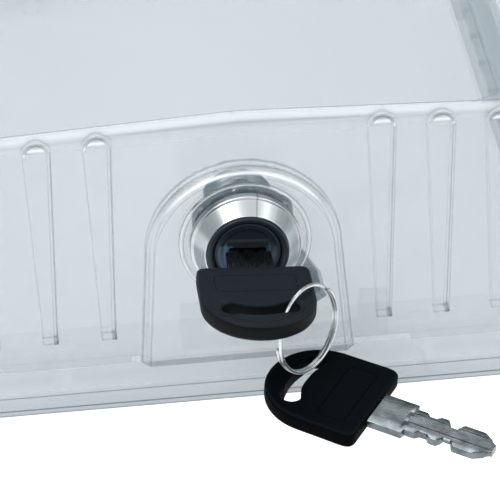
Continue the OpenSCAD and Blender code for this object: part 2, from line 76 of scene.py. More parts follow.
# Faces that turn by less than the first are joined, and edges sharper than the second are rounded.
FLAT_DEG = 0.5
BEVEL_FROM_DEG = 38.0

Material = bpy.types.Material
Colour = tuple[float, float, float]
Mask = Callable[["Tree"], "Value"]
LineMasks = Callable[["Tree"], tuple["Value", "Value"]]


# ---------------------------------------------------------------- places and surfaces


def turn_about(axis: str, deg: float) -> np.ndarray:
    """Matrix of a turn about X, Y or Z by deg degrees."""
    first, second = {"X": (1, 2), "Y": (2, 0), "Z": (0, 1)}[axis]
    matrix = np.eye(3)
    matrix[[first, second], [first, second]] = math.cos(math.radians(deg))
    matrix[second, first] = math.sin(math.radians(deg))
    matrix[first, second] = -matrix[second, first]
    return matrix


@dataclass(frozen=True)
class Place:
    """A piece's own frame, as a turn and a shift in the row frame."""

    turn: np.ndarray = field(default_factory=lambda: np.eye(3))
    shift: np.ndarray = field(default_factory=lambda: np.zeros(3))

    def to_row(self, points: np.ndarray) -> np.ndarray:
        """Points of the piece's own frame, in the row frame."""
        return points @ self.turn.T + self.shift

    def to_own(self, points: np.ndarray) -> np.ndarray:
        """Points of the row frame, in the piece's own frame."""
        return (points - self.shift) @ self.turn

    def then(self, turn: np.ndarray, shift: Sequence[float]) -> "Place":
        """A place given in this one."""
        return Place(self.turn @ turn, self.turn @ np.asarray(shift, float) + self.shift)


@dataclass
class Sheet:
    """A surface as a grid of points: rows run along the first index, and columns along the second."""

    points: np.ndarray
    # The rim mask marks rounded edges, which the finishes paint paler: a painted highlight, and on black plastic partly
    # wear.
    rim: Optional[np.ndarray] = None
    own: Optional[np.ndarray] = None
    rows_close: bool = False
    columns_close: bool = True
    cap_start: bool = False
    cap_end: bool = False

    def faces(self, first: int) -> list[tuple[int, ...]]:
        """Four-sided faces between neighbouring grid points, and a flat face over each capped end.

        Args:
            first: index of the sheet's first point in the whole mesh.

        Returns:
            The faces as tuples of point indices.
        """
        rows, columns = self.points.shape[:2]
        index = first + np.arange(rows * columns).reshape(rows, columns)
        if self.rows_close:
            index = np.vstack([index, index[:1]])
        if self.columns_close:
            index = np.hstack([index, index[:, :1]])
        quads = np.stack([index[:-1, :-1], index[:-1, 1:], index[1:, 1:], index[1:, :-1]], -1).reshape(-1, 4)
        found = [tuple(face) for face in quads.tolist()]
        ring = first + np.arange(columns)
        if self.cap_start:
            found.append(tuple(ring[::-1].tolist()))
        if self.cap_end:
            found.append(tuple((ring + (rows - 1) * columns).tolist()))
        return found


def round_angles(steps: int) -> np.ndarray:
    """Directions round an axis, evenly spaced from 0, as one row."""
    return np.linspace(0, 2 * np.pi, steps, endpoint=False)[None, :]


def polar(radius: np.ndarray, angle: np.ndarray, height: np.ndarray) -> np.ndarray:
    """Points at x = r cos a, y = r sin a and z = height, for every row and column."""
    return np.stack(np.broadcast_arrays(radius * np.cos(angle), radius * np.sin(angle), height), -1)


def turned_sheet(
    profile: np.ndarray, steps: int, radius_of: Optional[Callable[..., np.ndarray]] = None, **settings: Any
) -> Sheet:
    """A profile of (radius, height) pairs carried round the Z axis.

    Args:
        profile: pairs of radius and height, up the outside and down the inside.
        steps: number of columns round the axis.
        radius_of: function of (radius, angle) that gives the radius at an angle, for flats and teeth.
        settings: the sheet's other settings.

    Returns:
        The sheet, with rows along the profile.
    """
    radius, angle = np.broadcast_arrays(profile[:, :1], round_angles(steps))
    if radius_of is not None:
        radius = radius_of(radius, angle)
    return Sheet(polar(radius, angle, profile[:, 1:2]), **settings)


def rounded_profile(corners: Sequence[tuple[float, float, float]], steps: int = 5, closed: bool = True) -> np.ndarray:
    """A path through corner points, each rounded by an arc of its own radius.

    Each arc runs between the points that lie radius * tan(turn / 2) before and after its corner, and follows
    the curve (1-t)^2 a + 2 t (1-t) corner + t^2 b, which is within a hair of the arc for these small radii.

    Args:
        corners: (x, y, radius) of each corner in order.
        steps: number of parts in each arc.
        closed: whether the last corner joins the first.

    Returns:
        The points of the path.
    """
    flat = np.array(corners, float)
    here, radius = flat[:, :2], flat[:, 2]
    before, after = np.roll(here, 1, 0), np.roll(here, -1, 0)
    into, out = before - here, after - here
    into_len, out_len = np.linalg.norm(into, axis=1), np.linalg.norm(out, axis=1)
    into, out = into / into_len[:, None], out / out_len[:, None]
    half = (np.pi - np.arccos(np.clip((into * out).sum(1), -1, 1))) / 2
    cut = np.minimum(radius * np.tan(half), 0.49 * np.minimum(into_len, out_len))
    if not closed:
        cut[[0, -1]] = 0
    t = np.linspace(0, 1, steps + 1)[None, :, None]
    a, b = (here + into * cut[:, None])[:, None], (here + out * cut[:, None])[:, None]
    path = ((1 - t) ** 2 * a + 2 * t * (1 - t) * here[:, None] + t**2 * b).reshape(-1, 2)
    keep = np.ones(len(path), bool)
    keep[1:] = np.linalg.norm(np.diff(path, axis=0), axis=1) > 1e-6
    return path[keep]


def add_attributes(mesh: bpy.types.Mesh, own: np.ndarray, rim: np.ndarray) -> None:
    """Gives each point of a mesh its place in the piece's own coordinates, and its rim mask."""
    mesh.attributes.new("own", "FLOAT_VECTOR", "POINT").data.foreach_set("vector", own.astype(np.float32).ravel())
    mesh.attributes.new("rim", "FLOAT", "POINT").data.foreach_set("value", rim.astype(np.float32))


@dataclass(frozen=True)
class Piece:
    """One named mesh object of the dressed part.

    Args:
        name: the object's name.
        material: its finish.
        body: the CAD body that it rides on.
        slot: the record's material slot; it is not used.
        replaces: CAD nodes that it stands for.
        place: the frame of its own coordinates.
        smooth_deg: edges sharper than this stay crisp.
    """

    name: str
    material: Material
    body: str
    slot: str
    replaces: Sequence[str] = ()
    place: Place = Place()
    smooth_deg: float = 40.0

    def write(self, *sheets: Sheet) -> None:
        """Makes the object of sheets in its own frame, in millimetres.

        A sheet's own points, where given, stand in for its places in the piece's own coordinates.
        """
        points = np.concatenate([sheet.points.reshape(-1, 3) for sheet in sheets])
        own = np.concatenate([(s.points if s.own is None else s.own).reshape(-1, 3) for s in sheets])
        rims = [np.broadcast_to(0.0 if s.rim is None else s.rim, s.points.shape[:2]).ravel() for s in sheets]
        faces: list[tuple[int, ...]] = []
        first = 0
        for sheet in sheets:
            faces += sheet.faces(first)
            first += sheet.points[..., 0].size
        mesh = bpy.data.meshes.new(self.name)
        mesh.from_pydata((self.place.to_row(points) * MM).tolist(), [], faces)
        add_attributes(mesh, own, np.concatenate(rims))
        work = bmesh.new()
        work.from_mesh(mesh)
        bmesh.ops.remove_doubles(work, verts=work.verts, dist=MERGE_SHEETS)
        bmesh.ops.recalc_face_normals(work, faces=work.faces)
        work.to_mesh(mesh)
        work.free()
        self.link(mesh)

    def soften(self, frame: dict[str, Any], edge: float) -> None:
        """Makes the object of its CAD node, merged, with a Bevel modifier that rounds its edges.

        Args:
            edge: width of the rounded edge in millimetres.
        """
        mesh = frame["nodes"][self.replaces[0]].data.copy()
        mesh.name = self.name
        work = bmesh.new()
        work.from_mesh(mesh)
        bmesh.ops.remove_doubles(work, verts=work.verts, dist=MERGE_SOLIDS)
        bmesh.ops.dissolve_limit(work, angle_limit=math.radians(FLAT_DEG), verts=work.verts, edges=work.edges)
        work.to_mesh(mesh)
        work.free()
        co = np.zeros(len(mesh.vertices) * 3, np.float32)
        mesh.vertices.foreach_get("co", co)
        add_attributes(mesh, self.place.to_own(co.reshape(-1, 3) / MM), np.zeros(len(mesh.vertices)))
        bevel = self.link(mesh).modifiers.new("edge", "BEVEL")
        bevel.width = edge * MM
        bevel.segments = 2
        bevel.limit_method = "ANGLE"
        bevel.angle_limit = math.radians(BEVEL_FROM_DEG)
        bevel.harden_normals = True

    def link(self, mesh: bpy.types.Mesh) -> bpy.types.Object:
        """Shades a mesh, and makes of it the object, at the origin and tied to its body."""
        mesh.polygons.foreach_set("use_smooth", np.ones(len(mesh.polygons), bool))
        mesh.set_sharp_from_angle(angle=math.radians(self.smooth_deg))
        mesh.materials.clear()
        mesh.materials.append(self.material)
        obj = bpy.data.objects.new(self.name, mesh)
        bpy.context.scene.collection.objects.link(obj)
        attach(obj, self.body)
        if self.replaces:
            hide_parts(*self.replaces)
        LOG.info("%s: %d faces on %s", self.name, len(mesh.polygons), self.body)
        return obj


# ---------------------------------------------------------------- shader maths


def math_method(operation: str, swapped: bool = False) -> Callable[..., "Value"]:
    """Makes a method of Value out of a Math node.

    Args:
        operation: the node's operation.
        swapped: whether the other value goes in first.

    Returns:
        The method, which takes one other value or none.
    """

    def method(self: "Value", *other: Any) -> "Value":
        """What the node gives."""
        values = (self, *other)[::-1] if swapped else (self, *other)
        return self.tree.node("ShaderNodeMath", {"operation": operation}, dict(enumerate(values)))

    return method


class Value:
    """A number that a node gives out, with Python's operators as Math nodes."""

    __add__ = __radd__ = math_method("ADD")
    __sub__ = math_method("SUBTRACT")
    __rsub__ = math_method("SUBTRACT", swapped=True)
    __mul__ = __rmul__ = math_method("MULTIPLY")
    __truediv__ = math_method("DIVIDE")
    __pow__ = math_method("POWER")
    __abs__ = math_method("ABSOLUTE")
    least = math_method("MINIMUM")
    most = math_method("MAXIMUM")
    root = math_method("SQRT")

    def __init__(self, tree: "Tree", socket: bpy.types.NodeSocket) -> None:
        """Wraps a socket of a tree."""
        self.tree = tree
        self.socket = socket

    def step(self, low: float, high: float) -> "Value":
        """0 at low and 1 at high, smooth between them."""
        return self.tree.node(
            "ShaderNodeMapRange",
            {"interpolation_type": "SMOOTHSTEP"},
            {"Value": self, "From Min": low, "From Max": high, "To Min": 0.0, "To Max": 1.0},
        )

    def line(self, at: float, half_width: float) -> "Value":
        """1 on a thin line where the value is at, falling to 0 over half_width on each side."""
        return 1 - abs(self - at).step(0.0, half_width)


class Tree:
    """The node tree of one material or world."""

    def __init__(self, owner: Any) -> None:
        """Empties the owner's tree."""
        self.owner = owner
        owner.use_nodes = True
        self.nodes = owner.node_tree.nodes
        self.links = owner.node_tree.links
        self.nodes.clear()

    def node(
        self,
        kind: str,
        settings: Optional[dict[str, Any]] = None,
        inputs: Optional[dict[Any, Any]] = None,
        out: Any = 0,
    ) -> Value:
        """Adds a node, sets it up, and fills its sockets.

        Args:
            kind: the node's type.
            settings: properties, which are set first.
            inputs: socket name or number to a number, a tuple or a Value.
            out: name or number of the output that is used.

        Returns:
            That output as a Value.
        """
        made = self.nodes.new(kind)
        for key, value in (settings or {}).items():
            setattr(made, key, value)
        for key, value in (inputs or {}).items():
            if isinstance(value, Value):
                self.links.new(value.socket, made.inputs[key])
            else:
                made.inputs[key].default_value = value
        return Value(self, made.outputs[out])

    def object_point(self) -> Value:
        """Object coordinates as a vector, in metres."""
        return self.node("ShaderNodeTexCoord", out="Object")

    def object_parts(self) -> tuple[Value, ...]:
        """Object coordinates as x, y and z, in millimetres."""
        scaled = {0: self.object_point(), "Scale": MM_PER_M}
        return self.parts(self.node("ShaderNodeVectorMath", {"operation": "SCALE"}, scaled))

    def own_point(self) -> Value:
        """The piece's own coordinates as a vector, in millimetres."""
        return self.node("ShaderNodeAttribute", {"attribute_name": "own"}, out="Vector")

    def own_parts(self) -> tuple[Value, ...]:
        """The piece's own coordinates as x, y and z, in millimetres."""
        return self.parts(self.own_point())

    def parts(self, point: Value) -> tuple[Value, ...]:
        """A vector's three numbers."""
        split = self.node("ShaderNodeSeparateXYZ", None, {0: point})
        return tuple(Value(self, output) for output in split.socket.node.outputs)

    def rim(self) -> Value:
        """The mesh's rim mask."""
        return self.node("ShaderNodeAttribute", {"attribute_name": "rim"}, out="Fac")

    def noise(self, point: Value, scale: float, detail: float = 2.0, stretch: Sequence[float] = (1, 1, 1)) -> Value:
        """Soft noise from 0 to 1 at a scale per unit of the point, stretched along the axes."""
        scaled = self.node("ShaderNodeMapping", None, {"Vector": point, "Scale": tuple(stretch)})
        return self.node("ShaderNodeTexNoise", None, {"Vector": scaled, "Scale": scale, "Detail": detail})

    def blend(self, factor: Any, first: Any, second: Any) -> Value:
        """Colour that goes from first to second as the factor goes from 0 to 1."""
        return self.node(
            "ShaderNodeMix", {"data_type": "RGBA"}, {"Factor": factor, 6: rgba(first), 7: rgba(second)}, out=2
        )

    def bump(self, height: Value, distance: float, strength: float = 1.0) -> Value:
        """Normal of a bumpy surface, with the height's distance in millimetres."""
        return self.node("ShaderNodeBump", None, {"Height": height, "Distance": distance * MM, "Strength": strength})

    def surface(self, **sockets: Any) -> Material:
        """Ends the tree in one Principled BSDF with these sockets, named with _ for a space."""
        named = {key.replace("_", " "): value for key, value in sockets.items()}
        return self.finish(self.node("ShaderNodeBsdfPrincipled", None, named))

    def finish(self, shader: Value, output: str = "ShaderNodeOutputMaterial") -> Any:
        """Joins a shader to the tree's output, and returns the tree's owner."""
        end = self.nodes.new(output)
        self.links.new(shader.socket, end.inputs["Surface"])
        return self.owner


def rgba(colour: Any) -> Any:
    """A colour of three numbers with an alpha of 1; a Value stays as it is."""
    return colour if isinstance(colour, Value) else (*colour[:3], 1.0)


# ---------------------------------------------------------------- finishes


class Grain(Enum):
    """How a metal surface was worked."""

    TURNED = "fine rings round the axis"
    BRUSHED = "fine lines along the piece"
    PLATED = "soft mottling of plating"


@dataclass(frozen=True)
class ClearPlastic:
    """Clear moulded plastic: a thin cool tint, paler and less clear at its rounded edges, where a highlight is painted.
    """

    name: str
    tint: Colour = (0.24, 0.315, 0.36)
    # Paler colour at the rounded edges, a painted highlight.
    pale: Colour = (0.70, 0.765, 0.775)
    cover: float = 0.302
    edge_cover: float = 0.20
    grazing_cover: float = 0.24
    # Thin lines: the dark ones are painted shade, the light ones painted highlights in the gleam colour.
    lines: Optional[LineMasks] = None
    line_cover: tuple[float, float] = (0.50, 0.55)
    # The band is painted shade: more opaque and tinted.
    band: Optional[Mask] = None
    band_shade_cover: float = 0.0
    band_shade_tint: Colour = (0.27, 0.345, 0.385)
    calm: Optional[Mask] = None
    calm_share: float = 0.65
    line_shade_share: float = 0.35
    gleam: Colour = (0.95, 0.97, 0.98)
    most_cover: float = 0.95

    def make(self) -> Material:
        """Alpha grows with the rim mask, in the band and at grazing angles, and low ripples bend the gloss."""
        tree = Tree(bpy.data.materials.new(self.name))
        point = tree.object_point()
        ripple = tree.noise(point, 38.0, 1.5)
        haze = tree.noise(point, 9.0, 2.0)
        rim = tree.rim()
        facing = tree.node("ShaderNodeLayerWeight", None, {"Blend": 0.35}, out="Facing")
        alpha = self.cover * (0.86 + 0.28 * haze) + rim * self.edge_cover + facing**3 * self.grazing_cover
        # Painted highlight: the colour goes paler with the rim mask.
        colour = tree.blend(rim.least(1.0), self.tint, self.pale)
        if self.calm is not None:
            alpha = alpha * (1 - self.calm(tree) * self.calm_share)
        if self.band is not None:
            # Painted shade: the band makes the tray's skirt and ledge more opaque and tinted, so darker.
            skirt = self.band(tree)
            alpha = alpha + skirt * self.band_shade_cover
            colour = tree.blend(skirt, colour, self.band_shade_tint)
        if self.lines is not None:
            # Painted shade and highlight lines.
            dark, light = self.lines(tree)
            colour = tree.blend(dark, colour, tuple(self.line_shade_share * c for c in self.tint))
            colour = tree.blend(light, colour, self.gleam)
            alpha = alpha + dark * self.line_cover[0] + light * self.line_cover[1]
        return tree.surface(
            Base_Color=colour,
            Roughness=0.07 + 0.05 * haze,
            Alpha=alpha.least(self.most_cover),
            IOR=1.49,
            Normal=tree.bump(ripple, 0.25, 0.5),
        )


@dataclass(frozen=True)
class BlackPlastic:
    """Fine matt black moulded plastic with slightly polished edges, paler partly by wear and partly as a painted
    highlight.
    """

    name: str
    colour: Colour = (0.0066, 0.0096, 0.0130)
    # Paler edge colour: partly rubbed wear, partly a painted highlight.
    worn_and_highlight: Colour = (0.011, 0.016, 0.021)
    # Colour of the walls between the two faces, painted darker as shade.
    side: Colour = (0.0012, 0.0018, 0.0026)
    shaded_walls_at: float = 0.0
    roughness: float = 0.48
    texture: float = 0.05
    ior: float = 1.20
    groove: Optional[Mask] = None
    reflection_patch: Optional[Mask] = None
    # Colour of the painted reflection.
    patch_colour: Colour = (0.046, 0.088, 0.132)
    # Share of the colour left in the groove, which is painted darker as shade.
    groove_shade_share: float = 0.3
    groove_depth: float = 0.25

    def make(self) -> Material:
        """A fine spark texture in the bump, a paler tone by the rim mask that is partly rubbed wear and partly a
        painted highlight, and any groove pressed in and painted darker as shade.

        Where shaded_walls_at is given, the walls between the two faces, with |z| below it, are plainer and painted
        darker as shade.
        """
        tree = Tree(bpy.data.materials.new(self.name))
        point = tree.own_point()
        fine = tree.noise(point, 3.2, 3.0)
        cloud = tree.noise(point, 0.12, 2.0)
        # The rim mask paints the edges paler: partly rubbed wear, partly a painted highlight.
        rub_and_highlight = tree.rim() * (0.35 + 0.5 * cloud)
        colour, height = tree.blend(rub_and_highlight, self.colour, self.worn_and_highlight), fine * self.texture
        # Painted shade: the walls between the two faces, inside the slot and round the bow, are darker.
        if self.shaded_walls_at > 0:
            off_middle = abs(tree.parts(point)[2])
            colour = tree.blend(off_middle.step(self.shaded_walls_at + 0.3, self.shaded_walls_at - 0.1), colour, self.side)
        # Painted reflection: a paler blue-grey area where the mask is set.
        if self.reflection_patch is not None:
            colour = tree.blend(self.reflection_patch(tree), colour, self.patch_colour)
        # Painted shade: the pressed groove is darker than the face round it.
        if self.groove is not None:
            cut = self.groove(tree)
            colour = tree.blend(cut, colour, tuple(self.groove_shade_share * c for c in self.colour))
            height = height - cut * self.groove_depth
        return tree.surface(
            Base_Color=colour,
            Roughness=self.roughness + 0.16 * cloud - 0.10 * rub_and_highlight,
            IOR=self.ior,
            Normal=tree.bump(height, 1.0, 0.6),
        )


@dataclass(frozen=True)
class Metal:
    """A bare or plated metal with the marks of how it was worked, and on a turned piece a painted reflection."""

    name: str
    colour: Colour = (0.60, 0.63, 0.63)
    shade: Colour = (0.42, 0.45, 0.46)
    roughness: float = 0.26
    grain: Grain = Grain.PLATED
    depth: float = 0.02

    def turned(self, tree: Tree) -> tuple[Value, Value]:
        """Marks of a turned piece, and its tone, which is a painted reflection.

        The marks are rings: noise on the radius and the height. The tone is a painted reflection in broad sectors round
        the
        axis: noise on the direction alone darkens the sides, and the upper sector is painted bright as a highlight, but
        for one thin painted dark streak.
        """
        x, y, z = tree.own_parts()
        radius = (x * x + y * y).root().most(0.5)
        across, up = x / radius, y / radius
        marks = tree.noise(tree.node("ShaderNodeCombineXYZ", None, {"X": radius, "Y": z}), 5.0, 3.0)
        sectors = tree.noise(tree.node("ShaderNodeCombineXYZ", None, {"X": across, "Y": up}), 3.4, 3.0)
        # Painted reflection: the upper sector is painted bright as a highlight, the sides darker by the sector noise,
        # and one thin dark line is a painted dark streak.
        upper = up.step(0.82, 0.95)
        painted_dark_streak = across.line(0.235, 0.03) * up.step(0.2, 0.6)
        tone = 0.95 * upper + (sectors - 0.24) * 0.95 * (1 - upper) - 0.6 * painted_dark_streak
        return marks, tone.most(0.0).least(1.0)

    def make(self) -> Material:
        """Noise drawn out along the grain drives the tone, the roughness and a slight bump; on a turned piece the tone
        is a painted reflection instead.
        """
        tree = Tree(bpy.data.materials.new(self.name))
        if self.grain is Grain.TURNED:
            # On a turned piece the tone is a painted reflection.
            marks, cloud = self.turned(tree)
        else:
            point = tree.own_point()
            brushed = self.grain is Grain.BRUSHED
            marks = tree.noise(point, 4.0, 3.0, (1.0, 0.06, 1.0)) if brushed else tree.noise(point, 1.3, 4.0)
            cloud = (0.25 * marks + 0.75 * tree.noise(point, 0.35, 3.0)).step(0.30, 0.70)
        return tree.surface(
            Base_Color=tree.blend(cloud, self.shade, self.colour),
            Metallic=1.0,
            Roughness=self.roughness + 0.14 * marks,
            Normal=tree.bump(marks, self.depth, 0.6),
        )


@dataclass(frozen=True)
class Finishes:
    """Every material of the object."""

    cover: Material
    flutes: Material
    boss: Material
    tray: Material
    catch: Material
    bow: Material
    # Key 2's bow: the same black plastic as key 1's, painted darker as shade.
    spare_bow: Material
    lock_black: Material
    zinc: Material
    nut: Material
    steel: Material
    brass: Material
    nickel: Material

    @classmethod
    def make(cls, pad: "ArchPad") -> "Finishes":
        """Makes them all; the pad draws its own painted shade and highlight lines on the cover."""
        return cls(
            cover=ClearPlastic("clear_cover_plastic", lines=pad.lines).make(),
            flutes=ClearPlastic(
                "clear_flute_plastic", cover=0.0, edge_cover=0.04, grazing_cover=0.05, lines=flute_lines,
                line_cover=(0.62, 0.85)
            ).make(),
            boss=ClearPlastic(
                "clear_boss_plastic", cover=0.01, edge_cover=0.08, grazing_cover=0.20, lines=boss_lines,
                line_cover=(0.60, 0.70)
            ).make(),
            tray=ClearPlastic(
                "clear_tray_plastic", cover=0.08, edge_cover=0.35, grazing_cover=0.18, lines=tray_lines,
                band=tray_shade_band, band_shade_cover=0.54, calm=tray_inside
            ).make(),
            catch=ClearPlastic("clear_catch_plastic", cover=0.045, edge_cover=0.20, grazing_cover=0.12).make(),
            # Key 1's bow is the lit copy of the black plastic, and key 2's below it is a copy painted darker, with
            # duller gloss, as shade.
            bow=BlackPlastic("black_matt_plastic", (0.0072, 0.0116, 0.0160), groove=bow_panel, shaded_walls_at=1.5).make(),
            spare_bow=BlackPlastic(
                "black_matt_plastic_spare_shaded", (0.0026, 0.0040, 0.0056), (0.006, 0.009, 0.012), ior=1.07,
                groove=bow_panel, shaded_walls_at=1.5
            ).make(),
            # The lock's black: its paler edge colour is partly a painted highlight on the ring's crown, and a painted
            # reflection lies beside the keyway.
            lock_black=BlackPlastic(
                "black_lock_plastic", (0.011, 0.0165, 0.022), (0.030, 0.046, 0.064), roughness=0.24, texture=0.02,
                ior=1.32, reflection_patch=plug_painted_reflection
            ).make(),
            # The zinc's colour and shade are the bright and dark ends of its painted reflection.
            zinc=Metal("satin_zinc", (0.90, 0.93, 0.94), (0.30, 0.335, 0.345), 0.24, Grain.TURNED).make(),
            nut=Metal("grey_zinc", (0.42, 0.455, 0.47), (0.26, 0.285, 0.295), 0.30).make(),
            steel=Metal("plated_steel", roughness=0.22).make(),
            brass=Metal("plain_brass", (0.72, 0.60, 0.36), (0.52, 0.42, 0.24)).make(),
            nickel=Metal("key_nickel", (0.19, 0.208, 0.213), (0.080, 0.095, 0.105), 0.20, Grain.BRUSHED, 0.003).make(),
        )


# ---------------------------------------------------------------- the box


@dataclass(frozen=True)
class BoxSizes:
    """Sizes that the tray, the cover, the lock and the finishes share."""

    base_l: float = 200.0
    base_w: float = 170.0
    base_corner_r: float = 16.0
    rim_h: float = 6.8
    rim_ledge: float = 8.0
    wall: float = 2.5
    lean_deg: float = 5.7
    ridge_z: float = 70.2
    top_fall: float = 0.045
    lock_z: float = 39.8
    boss_r: float = 15.5
    boss_inner_r: float = 14.4
    boss_face: float = 4.5
    pin_r: float = 1.75

    @property
    def lean_turn(self) -> float:
        """The walls' lean in radians."""
        return math.radians(self.lean_deg)

    @property
    def steep(self) -> float:
        """Length up a leaning wall for each millimetre of height."""
        return 1 / math.cos(self.lean_turn)

    @property
    def lean(self) -> float:
        """Inward run of a wall for each millimetre of height."""
        return math.tan(self.lean_turn)

    @property
    def half_w(self) -> float:
        """Half of the cover's width at its foot."""
        return self.base_w / 2 - self.rim_ledge

    @property
    def half_l(self) -> float:
        """Half of the cover's length at its foot."""
        return self.base_l / 2 - self.rim_ledge

    @property
    def front_y(self) -> float:
        """Where the lock's axis meets the front wall."""
        return -self.half_l + (self.lock_z - self.rim_h) * self.lean

    def from_lock(self, x: float, y: float, z: float) -> np.ndarray:
        """A point given from where the lock's axis meets the front wall."""
        return np.array([x, self.front_y + y, self.lock_z + z])

    def lock_place(self, turn: float = 0.0) -> Place:
        """Frame on the lock's axis: Z points out of the lock and Y up the wall."""
        facing = turn_about("X", 90 - self.lean_deg) @ turn_about("Z", -turn)
        return Place(facing, np.array([0.0, self.front_y, self.lock_z]))

    def wall_place(self, x: float, z: float, turn: float) -> Place:
        """Frame on a wall's outer face: Y up the wall, Z outward; turn is the wall's side in degrees."""
        half = (self.half_l if turn in (0, 180) else self.half_w) - (z - self.rim_h) * self.lean
        side = turn_about("Z", turn)
        return Place(side @ turn_about("X", 90 - self.lean_deg), side @ np.array([x, -half, z]))

    def roof(self, x: np.ndarray) -> np.ndarray:
        """Height of the top face over x: a shallow ridge with a softly rounded crest."""
        soft = 3.0
        return self.ridge_z - self.top_fall * (np.sqrt(x**2 + soft**2) - soft)


SIZES = BoxSizes()
HINGE = (46.0, 96.15, 11.0)
# Added to the distance from the crest on the lower walls, so that its lines stay near the top.
LOW_ON_WALL = 50.0
# Where the split ring and key 2 hang, from where the lock's axis meets the front wall, and their turns.
RING_AT, RING_TURN = (10.72, -33.5, -3.88), (0.0, -7.3, -45.3)
KEY_2_AT, KEY_2_TURN = (24.32, -48.19, -17.19), (3.4, 0.4, 56.9)


def hanging_place(at: Sequence[float], turn: Sequence[float]) -> Place:
    """Place of a hanging piece, turned about X, then Y, then Z."""
    about_x, about_y, about_z = (turn_about(axis, deg) for axis, deg in zip("XYZ", turn))
    return Place(about_z @ about_y @ about_x, SIZES.from_lock(*at))


def hinge_point(side: int) -> np.ndarray:
    """Middle of the hinge on one side, -1 for the left and 1 for the right."""
    return np.array([side * HINGE[0], HINGE[1], HINGE[2]])


def beyond(x: Value, y: Value, half_w: float, half_l: float, corner: float) -> Value:
    """Distance outside a rounded rectangle, negative inside.

    It is the length of what x and y have past the corner's centre, or the larger of the two inside, less the corner.

    Args:
        x: place across from the rectangle's middle.
        y: place along from its middle.
        half_w: its half width.
        half_l: its half length.
        corner: its corner radius.

    Returns:
        The distance.
    """
    off_x, off_y = abs(x) - (half_w - corner), abs(y) - (half_l - corner)
    out_x, out_y = off_x.most(0.0), off_y.most(0.0)
    return (out_x * out_x + out_y * out_y).root() + off_x.most(off_y).least(0.0) - corner


def flute_lines(tree: Tree) -> tuple[Value, Value]:
    """Masks of a flute's dark and light edge lines, painted as shade and highlights.

    The piece's own coordinates give the place across a flute, down from its round top, and up from its foot. The
    depth inside the outline is the smaller of the depths inside its top circle and inside its slanting sides. The
    head's slope gives a painted dark crescent of shade, a painted highlight bar below it and a painted highlight facet
    on the side away from the lock; the dark lines down its sides and at its foot are painted stronger on one side.
    """
    half, taper = Cover.flute_top_w / 2, 0.0317
    across, down, up = tree.own_parts()
    side_x = tree.object_parts()[0]
    outer = (across * side_x / abs(side_x).most(1.0)).step(1.2, 2.0)
    right = across.step(-0.4, 0.4)
    head = down.step(half + 0.4, half - 0.4)
    shank = 1 - head
    circle = half - (across * across + (down - half) * (down - half)).root()
    flank = half - (down - half) * taper - abs(across)
    depth = circle * head + flank * shank
    # Painted shade and highlights: crescent, sides and foot are dark lines; bar, edge and facet are light ones.
    crescent = depth.line(0.75, 0.42) * head * abs(across).step(3.0, 1.4)
    sides = depth.line(0.30, 0.30) * shank * (0.25 + 0.35 * right) + depth.line(1.05, 0.22) * shank * right * 0.22
    foot = up.line(0.55, 0.5) * 0.40 + up.step(1.6, 0.9) * depth.step(1.3, 0.8) * right * 0.5
    bar = down.line(2.0, 0.85).root() * abs(across).step(3.1, 2.5) * depth.step(0.9, 1.3)
    edge = depth.line(0.10, 0.22) * head * 0.45
    facet = outer * depth.line(0.75, 0.5) * down.line(3.2, 1.3) * 0.9
    return (crescent + sides + foot).least(1.0), (bar + edge + facet).least(1.0)


def boss_lines(tree: Tree) -> tuple[Value, Value]:
    """Masks of the boss's edge lines: thin dark circles of painted shade at its edge and just inside it, and a painted
    highlight circle between.
    """
    x, y, z = tree.own_parts()
    radius = (x * x + y * y).root()
    face = z.step(SIZES.boss_face - 0.3, SIZES.boss_face - 0.05)
    edge, inner = radius.line(SIZES.boss_r, 0.20), radius.line(SIZES.boss_inner_r, 0.20)
    dark = edge * z.step(3.7, 4.1) + inner * face * 0.8
    return dark.least(1.0), radius.line(15.0, 0.34) * face * 0.9


def tray_reach(tree: Tree, inset: float) -> Value:
    """Distance in millimetres beyond a line that lies inset from the tray's rounded outline all round."""
    x, y, _ = tree.object_parts()
    return beyond(x, y, SIZES.base_w / 2, SIZES.base_l / 2, SIZES.base_corner_r) + inset


def tray_skirt(tree: Tree) -> Value:
    """Mask of the tray's outer skirt, within about half a millimetre of its outline and below its top edge."""
    return tray_reach(tree, 0.6).step(0.0, 0.3) * tree.object_parts()[2].step(6.6, 6.2)


def tray_lines(tree: Tree) -> tuple[Value, Value]:
    """Masks of thin level lines on the tray's skirt: dark ones of painted shade near its foot and top, and a painted
    highlight line at its edge.
    """
    height = tree.object_parts()[2]
    skirt = tray_skirt(tree)
    dark = (height.line(1.5, 0.35) * 0.8 + height.line(5.3, 0.3) * 0.6) * skirt
    return dark, height.line(6.5, 0.45) * skirt


def tray_shade_band(tree: Tree) -> Value:
    """Mask of the tray outside the cover, painted darker as shade: its skirt, and most of the ledge that the cover
    stands back from.
    """
    ledge = tray_reach(tree, SIZES.rim_ledge + 0.2).step(0.0, 0.4) * tree.object_parts()[2].step(6.1, 6.5)
    return tray_skirt(tree) + ledge * 0.85


def tray_inside(tree: Tree) -> Value:
    """Mask of the tray inside the cover, where its lip and floor show through more layers."""
    return tray_reach(tree, SIZES.rim_ledge + 0.8).step(0.5, 0.0)


def plug_painted_reflection(tree: Tree) -> Value:
    """Mask of a painted reflection on the lobes beside the keyway, clear on the left and faint on the right, and of a
    painted highlight arc above them.
    """
    x, y, z = tree.own_parts()
    radius = (x * x + y * y).root()
    inside = radius.step(7.1, 6.8) * y.step(2.0, 1.6) * z.step(9.0, 9.05)
    arc = radius.line(7.5, 0.16) * y.step(-2.0, 2.0) * 0.45
    return (inside * (x.step(-3.3, -3.7) + x.step(3.9, 4.3) * 0.40) + arc).least(1.0)


def bow_panel(tree: Tree) -> Value:
    """Mask of a thin pressed line round a bare panel on a key's bow, which the finish presses in and paints darker as
    shade.
    """
    x, y, _ = tree.own_parts()
    return beyond(x, y - 7.4, 9.2, 3.4, 1.2).line(0.0, 0.16)


